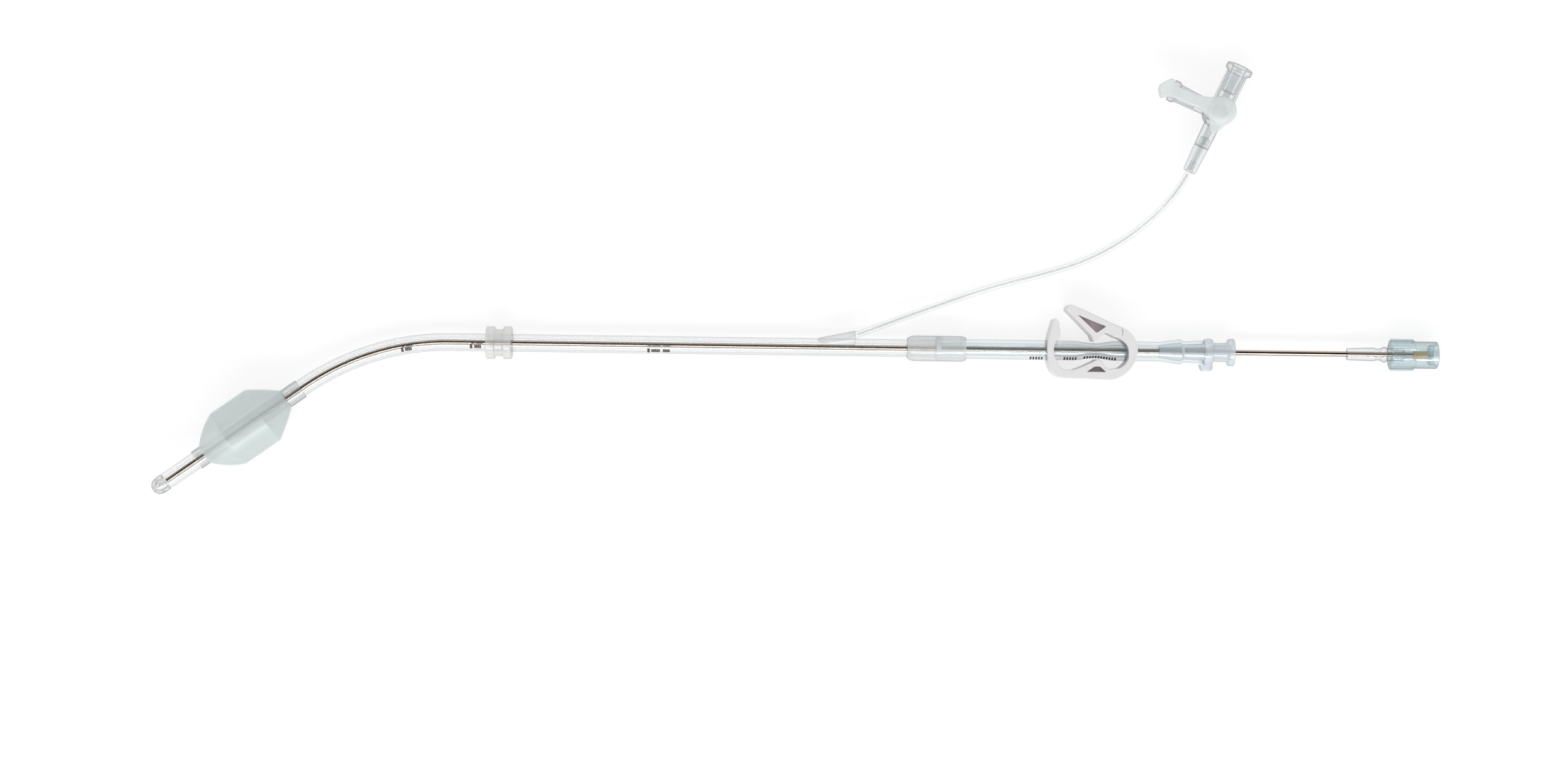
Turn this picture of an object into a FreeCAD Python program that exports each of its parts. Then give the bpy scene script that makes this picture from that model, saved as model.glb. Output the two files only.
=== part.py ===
import FreeCAD, Part
import math
import os
import Sketcher

# Balloon-tipped cardioplegia cannula, 15 French, lying on a table as it comes to rest.
# +X runs along the straight part of the cannula tube towards the stylet's handle, +Z is up,
# and the origin is on the table under the middle of the cannula (side line left out).
# All lengths are millimetres and all angles are degrees.

V = FreeCAD.Vector

SIZES = {
    # where the straight axis of the cannula lies
    "bend_start_x": (-99.88, "start of the preset bend along X"),
    "axis_y": (15.7, "straight axis from the origin"),
    "axis_height": (5.0, "straight axis above the table"),
    # cannula tube, measured from the start of the bend
    "tube_od": (5.0, "outside of the cannula tube, 15 French"),
    "lumen_bore": (3.3, "main lumen"),
    "lumen_offset": (0.4, "main lumen off the tube's centre"),
    "line_lumen_bore": (0.8, "small pressure lumen in the thick wall"),
    "line_lumen_offset": (1.88, "pressure lumen off the tube's centre"),
    "tube_straight": (139.5, "straight tube from the bend to its end in the coupling"),
    "bend_radius": (70.0, "preset bend"),
    "bend_angle": (36.25, "preset bend"),
    "tube_distal": (47.2, "straight tube beyond the bend"),
    "cut_over": (1.0, "how far a cut runs past its face"),
    # moulded tip
    "tip_length": (4.3, "tip with its dome"),
    "tip_wall": (0.85, "wall of the tip"),
    "tip_hole_ahead": (0.2, "side holes beyond the start of the dome"),
    "tip_hole": (0.9, "side holes of the tip"),
    "tip_end_hole": (1.2, "hole in the end of the dome"),
    # balloon on the distal straight
    "balloon_station": (20.0, "middle of the balloon beyond the bend"),
    "balloon_od": (17.5, "balloon as moulded"),
    "balloon_flat": (11.7, "cylindrical middle of the balloon"),
    "balloon_swell": (22.0, "radius of the swelling shoulders"),
    "balloon_neck": (27.8, "from neck to neck"),
    "balloon_film": (0.3, "wall of the balloon"),
    "balloon_rest": (0.54, "balloon's lean over the table"),
    "cuff_wall": (0.35, "bonded cuffs of the balloon"),
    "cuff_near": (5.1, "cuff towards the bend"),
    "cuff_far": (2.7, "cuff towards the tip"),
    # suture collar
    "collar_station": (10.5, "collar's first face beyond the start of the bend"),
    "collar_length": (7.3, "suture collar"),
    "collar_od": (9.4, "rings of the collar"),
    "collar_neck": (7.7, "neck between the rings"),
    "collar_ring": (2.4, "width of a ring"),
    "collar_edge": (0.4, "chamfer of the rings"),
    "collar_gap": (0.05, "running clearance of the collar on the tube"),
    # side joint of the pressure line
    "joint_back": (34.0, "start of the side joint before the tube's end"),
    "joint_length": (10.8, "side joint"),
    "joint_nose": (1.45, "radius of the joint's thin end"),
    "joint_nose_rise": (1.3, "centre of the thin end off the axis"),
    "joint_mouth": (2.1, "radius of the joint's mouth"),
    "joint_mouth_rise": (3.15, "centre of the mouth off the axis"),
    "joint_roll": (30.0, "joint turned up from +Y"),
    "joint_grip": (1.5, "side line held in the joint"),
    # side line and its stopcock
    "line_od": (1.9, "side line"),
    "line_bore": (1.0, "side line"),
    "line_rise": (4.05, "side line off the axis at the joint's mouth"),
    "line_grip": (3.0, "line held in the sleeve"),
    "line_lead": (2.2, "line that leaves the sleeve in line with it"),
    "hub_ahead": (79.85, "stopcock hub beyond the tube's end"),
    "hub_offset": (68.6, "stopcock hub from the straight axis"),
    "leg_height": (6.0, "legs above the table"),
    "run_angle": (64.6, "run of the stopcock from +X"),
    "barrel_od": (7.4, "barrel of the stopcock"),
    "barrel_height": (10.4, "barrel above the table"),
    "barrel_edge": (0.35, "chamfers of the barrel"),
    "plug_od": (4.6, "turning plug"),
    "plug_gap": (0.05, "running clearance of the plug"),
    "plug_foot_gap": (0.3, "under the plug"),
    "plug_foot": (0.8, "plug's foot above the table"),
    "port_reach": (14.9, "side port from the hub"),
    "luer_reach": (14.6, "open luer of the run from the hub"),
    "luer_mouth": (4.3, "luer cone at its mouth"),
    "luer_depth": (8.0, "luer cone"),
    "luer_taper": (0.03, "narrowing of the luer's radius for each millimetre"),
    "luer_barrel": (5.3, "outside of the luer"),
    "luer_lug": (7.8, "across the luer's lugs"),
    "luer_lug_width": (1.7, "luer's lugs along its axis"),
    "luer_draft": (0.35, "luer's barrel narrows towards the hub"),
    "luer_edge": (0.35, "chamfer of the lugs"),
    "luer_flare": (0.9, "cone behind the lugs of the stopcock"),
    "flow_bore": (1.6, "passage through the stopcock"),
    "run_rib": (0.9, "rib along the run"),
    "run_rib_span": (6.1, "across the ribs of the run"),
    "leg_root": (4.8, "line leg at the barrel"),
    "leg_reach": (10.8, "line leg from the hub"),
    "sleeve_root": (4.4, "line sleeve where it meets the leg"),
    "sleeve_end": (3.8, "line sleeve at its open end"),
    "sleeve_reach": (18.7, "open end of the line sleeve from the hub"),
    "spigot_gap": (0.2, "behind the spigot"),
    "sleeve_edge": (0.3, "chamfer of the sleeve"),
    "sleeve_spigot": (2.8, "spigot of the sleeve in the leg"),
    # handle of the stopcock
    "handle_turn": (5.0, "handle's lean from the side port"),
    "handle_od": (8.2, "hub of the handle"),
    "handle_lift": (0.3, "handle above the barrel"),
    "handle_height": (4.4, "hub of the handle"),
    "dome_drop": (1.2, "domed rim of the hub"),
    "dome_arc": (2.6, "radius of the domed rim"),
    "dome_rim": (2.4, "radius where the dome goes flat"),
    "dome_sag": (0.1, "fall of the hub's top to that radius"),
    "arm_height": (3.4, "arm of the handle"),
    "arm_half": (1.75, "half the arm's neck"),
    "arm_flare": (12.2, "start of the arm's flare from the hub"),
    "arm_shoulder": (16.5, "widest place of the arm from the hub"),
    "arm_wide_half": (3.0, "half the arm's widest place"),
    "arm_skew": (0.4, "arm's paddle leans towards the open luer"),
    "arm_reach": (19.0, "point of the arm from the hub"),
    "arm_neck": (8.5, "end of the arm's root from the hub"),
    "arm_root_half": (3.3, "half the arm's root on the hub's rim"),
    "arm_inside": (1.4, "arm's end inside the hub"),
    "arm_start": (2.4, "where the arm leaves the hub"),
    "arm_sweep": (9.0, "radius of the arm's root"),
    "arm_flare_arc": (4.5, "radius of the arm's flare"),
    "arm_corner": (0.5, "corner beyond the widest place"),
    "arm_blunt": (0.7, "blunt side beyond the widest place"),
    "arm_end_high": (0.8, "end of the arm, towards the open luer"),
    "arm_end_low": (0.6, "end of the arm, the other way"),
    "lobe_inside": (1.8, "lobe's end inside the hub"),
    "lobe_root": (3.2, "half the lobe's root"),
    "lobe_thick": (2.2, "lobe along Z"),
    "lobe_reach": (6.1, "short lobe from the hub"),
    "lobe_round": (1.2, "radius of the lobe's end"),
    "lobe_half": (1.1, "half the short lobe's end"),
    # coupling sleeve
    "coupling_grip": (8.3, "coupling's hold on the cannula tube"),
    "coupling_length": (16.9, "coupling"),
    "coupling_od": (7.3, "coupling"),
    "coupling_stop": (1.5, "rib between the two tubes"),
    "coupling_rib": (3.6, "opening through the rib"),
    "coupling_near_chamfer": (1.9, "long chamfer on the tube's side"),
    "coupling_far_chamfer": (1.0, "short chamfer"),
    "coupling_lip": (0.45, "wall left at the ends"),
    # extension tube
    "ext_od": (5.6, "extension tube"),
    "ext_bore": (3.6, "extension tube"),
    "ext_length": (75.3, "extension tube"),
    "dent_half": (2.15, "half the dented tube across the nubs"),
    "dent_wide_half": (3.3, "half the dented tube the other way"),
    "dent_length": (6.0, "half the length of the dent"),
    # barbed luer fitting
    "barb_length": (12.8, "barb inside the extension tube"),
    "barb_bore": (2.4, "bore of the barb"),
    "barb_nose": (3.7, "barb at its tip"),
    "barb_od": (5.3, "barb's ridge"),
    "barb_neck": (4.2, "behind the ridge"),
    "barb_rise": (5.7, "from the tip to the ridge"),
    "barb_land": (0.5, "flat of the ridge"),
    "barb_fall": (1.3, "from the ridge to the neck"),
    "barb_root": (4.8, "stem at the flange"),
    "barb_lead": (1.2, "tube starts to widen before the barb"),
    "barb_squeeze": (0.1, "how far the tube's wall thins on the barb"),
    "flange_thick": (2.5, "flange of the fitting"),
    "flange_edge": (0.5, "chamfer of the flange"),
    "lug_cone": (0.4, "cone behind the lugs"),
    "flange_od": (7.4, "flange of the fitting"),
    "wing_half": (4.6, "upper wing from the axis"),
    "low_wing_half": (5.4, "lower wing from the axis"),
    "wing_height": (4.6, "wings along Z"),
    "wing_extra": (1.2, "lower wing's extra width"),
    "wing_inside": (0.9, "wings' roots off the bore"),
    "wing_back": (0.3, "wings behind the flange's face"),
    "wing_front": (0.1, "wings before the flange's other face"),
    "wing_crown": (1.2, "rounded top of the upper wing"),
    "wing_arc": (1.4, "radius of the wings' ends"),
    "wing_gap": (0.2, "lower wing over the stretched tube"),
    "low_wing_lean": (0.4, "lean of the lower wing's back"),
    "low_wing_heel": (0.5, "height of its rounded heel"),
    "low_wing_arc": (0.9, "radius of its heel"),
    "low_wing_toe": (0.8, "height of its rounded toe"),
    "fitting_length": (21.5, "fitting from the barb's tip"),
    # pinch clamp, measured from the line of its nubs
    "clamp_station": (43.9, "nubs from the start of the extension tube"),
    "clamp_width": (10.0, "clamp along Z"),
    "clamp_tube_gap": (0.3, "clamp's holes around the tube"),
    "hinge_x": (6.1, "living hinge from the nubs"),
    "hinge_y": (5.3, "living hinge from the axis"),
    "hinge_knuckle": (1.5, "radius of the lever's round end"),
    "hinge_gap": (0.08, "clearance round the knuckle"),
    "hinge_seat": (0.3, "frame's face beyond the hinge"),
    "seat_low": (1.55, "frame's face below the hinge"),
    "seat_high": (1.75, "frame's face above the hinge"),
    "hinge_strap": (0.25, "lever's strap before the hinge"),
    "strap_under": (1.4, "strap below the hinge"),
    "strap_over": (2.0, "strap above the hinge"),
    "window_depth": (4.2, "recess of each window"),
    "leg_hole_from": (-15.0, "hole of the latch leg"),
    "leg_hole_run": (3.9, "hole of the latch leg"),
    "loop_hole_from": (7.2, "hole of the loop"),
    "loop_hole_run": (5.6, "hole of the loop"),
    # stylet
    "rod_od": (1.6, "steel rod of the stylet"),
    "rod_show": (32.4, "rod seen between the fitting and the stylet's sleeve"),
    "cone_length": (12.4, "clear sleeve of the stylet up to the grip"),
    "cone_nose": (3.65, "clear sleeve at its open end"),
    "cone_ring": (4.5, "snap ring of the clear sleeve"),
    "cone_edge": (0.25, "chamfer of the open end"),
    "cone_swell": (0.12, "clear sleeve widens towards its waist"),
    "cone_step": (0.4, "slope of its steps"),
    "cone_waist": (0.15, "depth of its waist"),
    "waist_station": (8.3, "waist from the open end"),
    "waist_length": (1.3, "waist"),
    "ring_back": (1.9, "snap ring before the grip"),
    "ring_width": (0.6, "snap ring"),
    "cone_socket": (4.0, "clear sleeve inside the grip"),
    "grip_length": (6.8, "ribbed grip"),
    "grip_od": (8.3, "grip at the foot of its ribs"),
    "grip_rib": (0.35, "ribs stand out of the grip"),
    "grip_edge": (0.3, "chamfers of the grip"),
    "cup_edge": (0.2, "chamfer of the end"),
    "rib_root": (0.4, "ribs' roots inside the grip"),
    "grip_rib_top": (0.8, "rib at its crest"),
    "grip_rib_width": (1.3, "rib at its foot"),
    "grip_ribs": (12.0, "ribs around the grip"),
    "cup_length": (6.6, "plain end of the handle"),
    "cup_od": (7.8, "plain end of the handle"),
    "cup_bore": (5.8, "recess in the end"),
    "cup_recess": (2.2, "depth of the recess"),
    "core_od": (2.4, "resin plug round the rod's end"),
    "core_cover": (0.4, "resin over the rod's end"),
    "rod_short": (0.3, "rod ends before the tip"),
    "core_length": (3.9, "resin plug"),
}

# Corners of the pinch clamp from the nubs' line and the tube's axis: x, y, radius to the next.
CORNERS = {
    "loop_top": (8.1, 6.35, -7.0),
    "loop_low": (10.6, -4.0, -8.4),
    "bar_right": (4.3, -8.35),
    "bar_left": (-8.1, -7.95, -4.55),
    "heel": (-13.2, -4.3, -16.3),
    "leg_back": (-13.3, 4.45),
    "latch_back": (-12.15, 8.7, -0.55),
    "latch_tip": (-11.25, 8.9),
    "latch_face": (-10.6, 7.8),
    "latch_nose": (-10.2, 4.8),
    "latch_under": (-10.3, 3.7, -0.7),
    "latch_root": (-11.3, 3.1),
    "leg_front": (-12.0, 0.9, 8.0),
    "leg_foot": (-10.8, -3.95, 2.8),
    "bar_inner": (-8.6, -5.6),
    "bar_dip": (-6.1, -5.5),
    "nub_rise": (-3.5, -4.5),
    "nub_left": (-0.3, -2.95, -1.15),
    "nub_right": (1.6, -2.95),
    "nub_foot": (2.7, -4.55, 1.6),
    "bay_left": (4.3, -5.15),
    "bay_right": (6.6, -5.0, 4.4),
    "loop_inner_low": (9.4, -1.7, 7.0),
    "loop_inner_top": (8.9, 1.7, 7.5),
    "bar_window_top": (0.6, -4.3),
    "bar_window_left": (-2.6, -6.1),
    "bar_window_right": (3.0, -6.1),
    "tail_top": (-8.0, 12.8),
    "tail_back": (-8.5, 11.9, 1.3),
    "tail_low": (-7.9, 10.9),
    "press_left": (-1.25, 4.3),
    "press_nose": (-0.95, 3.2, 0.85),
    "press_right": (0.65, 3.2),
    "press_foot": (1.5, 4.3, -1.6),
    "strap_low": (3.9, 4.75),
    "strap_high": (-4.3, 11.9),
    "tail_crown": (-6.9, 12.9, 0.9),
    "lever_window_tail": (-5.0, 9.75),
    "lever_window_nose": (0.1, 5.4),
    "lever_window_strap": (2.5, 7.0),
}

PARTS = ("x", "y", "arc")

# Free run of the side line: station from the tube's end, offset from the straight axis, height.
LINE_ROUTE = [
    (-17.3, 5.7, 6.6),
    (-9.5, 8.8, 4.9),
    (-0.5, 12.1, 3.1),
    (9.5, 15.8, 1.5),
    (20.5, 19.3, 1.05),
    (31.5, 22.1, 1.0),
    (42.5, 25.6, 1.0),
    (52.5, 30.9, 1.3),
    (60.9, 37.3, 2.6),
    (66.6, 43.4, 4.6),
]

doc = FreeCAD.newDocument("cannula")


class Dim:
    """A size as a number, together with the formula that the sheet gives it by."""

    def __init__(self, value, text):
        self.value = value
        self.text = text

    def __add__(self, other):
        other = as_dim(other)
        return Dim(self.value + other.value, f"({self.text} + {other.text})")

    def __radd__(self, other):
        return as_dim(other) + self

    def __sub__(self, other):
        other = as_dim(other)
        return Dim(self.value - other.value, f"({self.text} - {other.text})")

    def __rsub__(self, other):
        return as_dim(other) - self

    def __mul__(self, other):
        other = as_dim(other)
        return Dim(self.value * other.value, f"({self.text} * {other.text})")

    def __rmul__(self, other):
        return as_dim(other) * self

    def __truediv__(self, other):
        other = as_dim(other)
        return Dim(self.value / other.value, f"({self.text} / {other.text})")

    def __neg__(self):
        return self * -1.0


def as_dim(number):
    """A plain number as a Dim."""
    if isinstance(number, Dim):
        return number
    return Dim(float(number), f"({float(number)!r})")


def sine(angle):
    return Dim(math.sin(math.radians(angle.value)), f"sin({angle.text} * 1 deg)")


def cosine(angle):
    return Dim(math.cos(math.radians(angle.value)), f"cos({angle.text} * 1 deg)")


def make_sheet():
    """The spreadsheet of driving sizes, and a Dim for each of its cells."""
    sheet = doc.addObject("Spreadsheet::Sheet", "Sizes")
    sizes = {}
    for row, (alias, (value, meaning)) in enumerate(SIZES.items(), start=1):
        sheet.set(f"A{row}", str(value))
        sheet.setAlias(f"A{row}", alias)
        sheet.set(f"B{row}", meaning)
        sizes[alias] = Dim(value, f"Sizes.{alias}")
    row = len(SIZES)
    for name, values in CORNERS.items():
        for part, value in zip(PARTS, values):
            row += 1
            alias = f"{name}_{part}"
            sheet.set(f"A{row}", str(value))
            sheet.setAlias(f"A{row}", alias)
            sizes[alias] = Dim(value, f"Sizes.{alias}")
    return sizes


size = make_sheet()
doc.recompute()


def get(alias):
    return size[alias]


def clamp_corners(*names):
    """Named corners of the clamp, ready to draw."""
    return [tuple(get(f"{name}_{part}") for part, _ in zip(PARTS, CORNERS[name])) for name in names]


def bind(thing, prop, dim):
    """Tie a property to its formula."""
    thing.setExpression(prop, as_dim(dim).text)


def new_body(name):
    body = doc.addObject("PartDesign::Body", name)
    body.Label = name
    return body


def base_plane(body, role):
    for feature in body.Origin.OriginFeatures:
        if feature.Role == role:
            return feature
    raise ValueError(role)


def new_sketch(body, name, role="XY_Plane", along=None):
    """A sketch on one of the body's own planes, moved along the plane's normal."""
    sketch = body.newObject("Sketcher::SketchObject", name)
    sketch.AttachmentSupport = (base_plane(body, role), [""])
    sketch.MapMode = "FlatFace"
    if along is not None:
        bind(sketch, "AttachmentOffset.Base.z", along)
    return sketch


def arc_between(here, there, radius):
    """The arc of a signed radius: positive turns left on the way from here to there."""
    chord = there - here
    left = V(-chord.y, chord.x, 0).normalize()
    rise = math.sqrt(max(radius ** 2 - (chord.Length / 2) ** 2, 0.0))
    side = 1.0 if radius > 0 else -1.0
    centre = here + chord * 0.5 + left * (rise * side)
    first, last = (here, there) if radius > 0 else (there, here)
    start = math.atan2(first.y - centre.y, first.x - centre.x)
    stop = math.atan2(last.y - centre.y, last.x - centre.x)
    return Part.ArcOfCircle(Part.Circle(centre, V(0, 0, 1), abs(radius)), start, stop)


def draw(sketch, corners, closed=True):
    """Draw an outline of corners (x, y) or (x, y, radius of the arc to the next corner)."""
    spots = [(as_dim(corner[0]), as_dim(corner[1])) for corner in corners]
    first = sketch.GeometryCount
    runs = len(corners) if closed else len(corners) - 1
    geometry = []
    ends = []
    for index in range(runs):
        here = V(spots[index][0].value, spots[index][1].value, 0)
        after = spots[(index + 1) % len(spots)]
        there = V(after[0].value, after[1].value, 0)
        if len(corners[index]) == 2:
            geometry.append(Part.LineSegment(here, there))
            ends.append((1, 2))
        else:
            bend = as_dim(corners[index][2]).value
            geometry.append(arc_between(here, there, bend))
            ends.append((1, 2) if bend > 0 else (2, 1))
    sketch.addGeometry(geometry, False)
    rules = []
    formulas = []
    for index in range(runs):
        edge = first + index
        if closed or index + 1 < runs:
            after = (index + 1) % runs
            joined = Sketcher.Constraint("Coincident", edge, ends[index][1], first + after, ends[after][0])
            rules.append(joined)
            formulas.append(None)
        places = [(ends[index][0], spots[index])]
        if not closed and index + 1 == runs:
            places.append((ends[index][1], spots[index + 1]))
        for end, (x, y) in places:
            for kind, dim in (("DistanceX", x), ("DistanceY", y)):
                rules.append(Sketcher.Constraint(kind, edge, end, dim.value))
                formulas.append(dim.text)
        if len(corners[index]) == 3:
            bend = as_dim(corners[index][2])
            bend = bend if bend.value > 0 else -bend
            rules.append(Sketcher.Constraint("Radius", edge, bend.value))
            formulas.append(bend.text)
    numbers = sketch.addConstraint(rules)
    for number, formula in zip(numbers, formulas):
        if formula:
            sketch.setExpression(f"Constraints[{number}]", formula)


def circle(sketch, x, y, radius):
    """Draw one circle by its centre and radius."""
    x, y, radius = as_dim(x), as_dim(y), as_dim(radius)
    edge = sketch.addGeometry(Part.Circle(V(x.value, y.value, 0), V(0, 0, 1), radius.value), False)
    for kind, dim in (("DistanceX", x), ("DistanceY", y)):
        number = sketch.addConstraint(Sketcher.Constraint(kind, edge, 3, dim.value))
        sketch.setExpression(f"Constraints[{number}]", dim.text)
    number = sketch.addConstraint(Sketcher.Constraint("Radius", edge, radius.value))
    sketch.setExpression(f"Constraints[{number}]", radius.text)


def turned(body, sketch, name, cut=False, axis="H_Axis"):
    """A full turn of a profile about one of the sketch's axes."""
    kind = "PartDesign::Groove" if cut else "PartDesign::Revolution"
    feature = body.newObject(kind, name)
    feature.Profile = sketch
    feature.ReferenceAxis = (sketch, [axis])
    feature.Angle = 360
    return feature


def padded(body, sketch, name, length, both_ways=False):
    pad = body.newObject("PartDesign::Pad", name)
    pad.Profile = sketch
    bind(pad, "Length", length)
    if both_ways:
        pad.SideType = "Symmetric"
    return pad


def pocketed(body, sketch, name, length, both_ways=False, reversed_way=False):
    pocket = body.newObject("PartDesign::Pocket", name)
    pocket.Profile = sketch
    bind(pocket, "Length", length)
    if both_ways:
        pocket.SideType = "Symmetric"
    pocket.Reversed = reversed_way
    return pocket


def place(thing, x, y, z, axis=None, angle=None):
    """Put a body at its place, turned by an angle about an axis."""
    base = V(as_dim(x).value, as_dim(y).value, as_dim(z).value)
    turn = FreeCAD.Rotation()
    if angle is not None:
        turn = FreeCAD.Rotation(axis, angle.value)
    thing.Placement = FreeCAD.Placement(base, turn)
    for letter, dim in (("x", x), ("y", y), ("z", z)):
        bind(thing, f"Placement.Base.{letter}", dim)
    if angle is not None:
        bind(thing, "Placement.Rotation.Angle", angle)


# Stations along the straight axis, all measured from the start of the bend.
joint_start = get("tube_straight") - get("joint_back")
ext_start = get("tube_straight") + get("coupling_stop")
ext_end = ext_start + get("ext_length")
barb_tip = ext_end - get("barb_length")
flange_start = ext_end
fitting_end = barb_tip + get("fitting_length")
cone_start = fitting_end + get("rod_show")
grip_start = cone_start + get("cone_length")
cup_start = grip_start + get("grip_length")
handle_end = cup_start + get("cup_length")
nub_line = ext_start + get("clamp_station")

# The balloon rests on the table, so the plane of the bend is tilted up about the straight axis.
bend_drop = get("bend_radius") * (1 - cosine(get("bend_angle")))
bend_run = get("bend_radius") * sine(get("bend_angle"))
balloon_drop = bend_drop + get("balloon_station") * sine(get("bend_angle"))
tilt_sine = (get("balloon_od") / 2 + get("balloon_rest") - get("axis_height")) / balloon_drop
tilt = Dim(math.degrees(math.asin(tilt_sine.value)), f"asin({tilt_sine.text})")


def place_on_axis(body):
    place(body, get("bend_start_x"), get("axis_y"), get("axis_height"))


def place_in_bend_plane(body):
    place(body, get("bend_start_x"), get("axis_y"), get("axis_height"), V(-1, 0, 0), tilt)


def bend_path(body, name, straight, distal):
    """Path from the far end of the straight run back through the bend to the distal end."""
    path = new_sketch(body, name)
    angle = get("bend_angle")
    bend_end = (-bend_run, -bend_drop)
    end = (-(bend_run + distal * cosine(angle)), -(bend_drop + distal * sine(angle)))
    draw(path, [(straight, 0), (0, 0, get("bend_radius")), bend_end, end], closed=False)
    return path


def distal_sketch(body, name):
    """A sketch whose own X axis runs from the end of the bend along the distal straight."""
    sketch = new_sketch(body, name)
    angle = get("bend_angle") + 180
    sketch.AttachmentOffset = FreeCAD.Placement(V(0, 0, 0), FreeCAD.Rotation(V(0, 0, 1), angle.value))
    bind(sketch, "AttachmentOffset.Base.x", -bend_run)
    bind(sketch, "AttachmentOffset.Base.y", -bend_drop)
    bind(sketch, "AttachmentOffset.Rotation.Angle", angle)
    return sketch


def cannula_tube():
    body = new_body("cannula_tube")
    path = bend_path(body, "tube_path", get("tube_straight"), get("tube_distal"))
    section = new_sketch(body, "tube_section", "YZ_Plane", get("tube_straight"))
    circle(section, 0, 0, get("tube_od") / 2)
    circle(section, -get("lumen_offset"), 0, get("lumen_bore") / 2)
    circle(section, get("line_lumen_offset"), 0, get("line_lumen_bore") / 2)
    sweep = body.newObject("PartDesign::AdditivePipe", "tube_sweep")
    sweep.Profile = section
    sweep.Spine = path
    place_in_bend_plane(body)


def tip():
    """Soft tip: a dome with one end hole and four side holes."""
    body = new_body("tip")
    outer = get("tube_od") / 2
    inner = outer - get("tip_wall")
    start = get("tube_distal")
    end = start + get("tip_length")
    hole = get("tip_end_hole") / 2
    profile = distal_sketch(body, "tip_profile")
    shoulder = end - outer
    draw(profile, [
        (start, inner),
        (shoulder, inner, -inner),
        (shoulder + inner, 0),
        (end, 0, outer),
        (shoulder, outer),
        (start, outer),
    ])
    turned(body, profile, "tip_shell")
    bore = distal_sketch(body, "tip_bore")
    over = get("cut_over")
    draw(bore, [(shoulder, 0), (end + over, 0), (end + over, hole), (shoulder, hole)])
    turned(body, bore, "tip_end_bore", cut=True)
    sides = distal_sketch(body, "tip_sides")
    circle(sides, shoulder + get("tip_hole_ahead"), 0, get("tip_hole") / 2)
    pocketed(body, sides, "tip_side_holes", get("tube_od") * 2, both_ways=True)
    place_in_bend_plane(body)


def balloon():
    """Blow-moulded balloon: flat middle, swelling shoulders, a cuff bonded at each neck."""
    body = new_body("balloon")
    middle = get("balloon_station")
    radius = get("balloon_od") / 2
    inner = radius - get("balloon_film")
    bond = get("tube_od") / 2
    cuff = bond + get("cuff_wall")
    neck = get("balloon_neck") / 2
    flat = get("balloon_flat") / 2
    swell = get("balloon_swell")
    near = middle - neck - get("cuff_near")
    far = middle + neck + get("cuff_far")
    profile = distal_sketch(body, "balloon_profile")
    draw(profile, [
        (near, bond),
        (near, cuff),
        (middle - neck, cuff, -swell),
        (middle - flat, radius),
        (middle + flat, radius, -swell),
        (middle + neck, cuff),
        (far, cuff),
        (far, bond),
        (middle + neck, bond, swell),
        (middle + flat, inner),
        (middle - flat, inner, swell),
        (middle - neck, bond),
    ])
    turned(body, profile, "balloon_film")
    place_in_bend_plane(body)


def suture_collar():
    body = new_body("suture_collar")
    bore = get("tube_od") / 2 + get("collar_gap")
    rim = get("collar_od") / 2
    neck = get("collar_neck") / 2
    start = get("collar_station")
    end = start + get("collar_length")
    ring = get("collar_ring")
    edge = get("collar_edge")
    profile = new_sketch(body, "collar_profile")
    draw(profile, [
        (start, bore),
        (end, bore),
        (end, rim - edge),
        (end - edge, rim),
        (end - ring + edge, rim),
        (end - ring, rim - edge),
        (end - ring, neck),
        (start + ring, neck),
        (start + ring, rim - edge),
        (start + ring - edge, rim),
        (start + edge, rim),
        (start, rim - edge),
    ])
    turned(body, profile, "collar_turned")
    place_on_axis(body)


def line_points():
    """The whole route of the side line, from inside the joint to inside the sleeve."""
    roll = math.radians(get("joint_roll").value)
    rise = get("line_rise").value
    mouth = V(
        (get("bend_start_x") + joint_start + get("joint_length")).value,
        get("axis_y").value + rise * math.cos(roll),
        get("axis_height").value + rise * math.sin(roll),
    )
    tube_end = V((get("bend_start_x") + get("tube_straight")).value, get("axis_y").value, 0)
    route = [tube_end + V(*spot) for spot in LINE_ROUTE]
    inward = (mouth - route[0]).normalize()
    run = math.radians(get("run_angle").value)
    leg = V(math.cos(run), math.sin(run), 0)
    hub = tube_end + V(get("hub_ahead").value, get("hub_offset").value, get("leg_height").value)
    held = hub - leg * (get("sleeve_reach") - get("line_grip")).value
    outside = held - leg * (get("line_grip") + get("line_lead")).value
    points = [mouth + inward * get("joint_grip").value] + route + [outside, held]
    return points, inward


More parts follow.
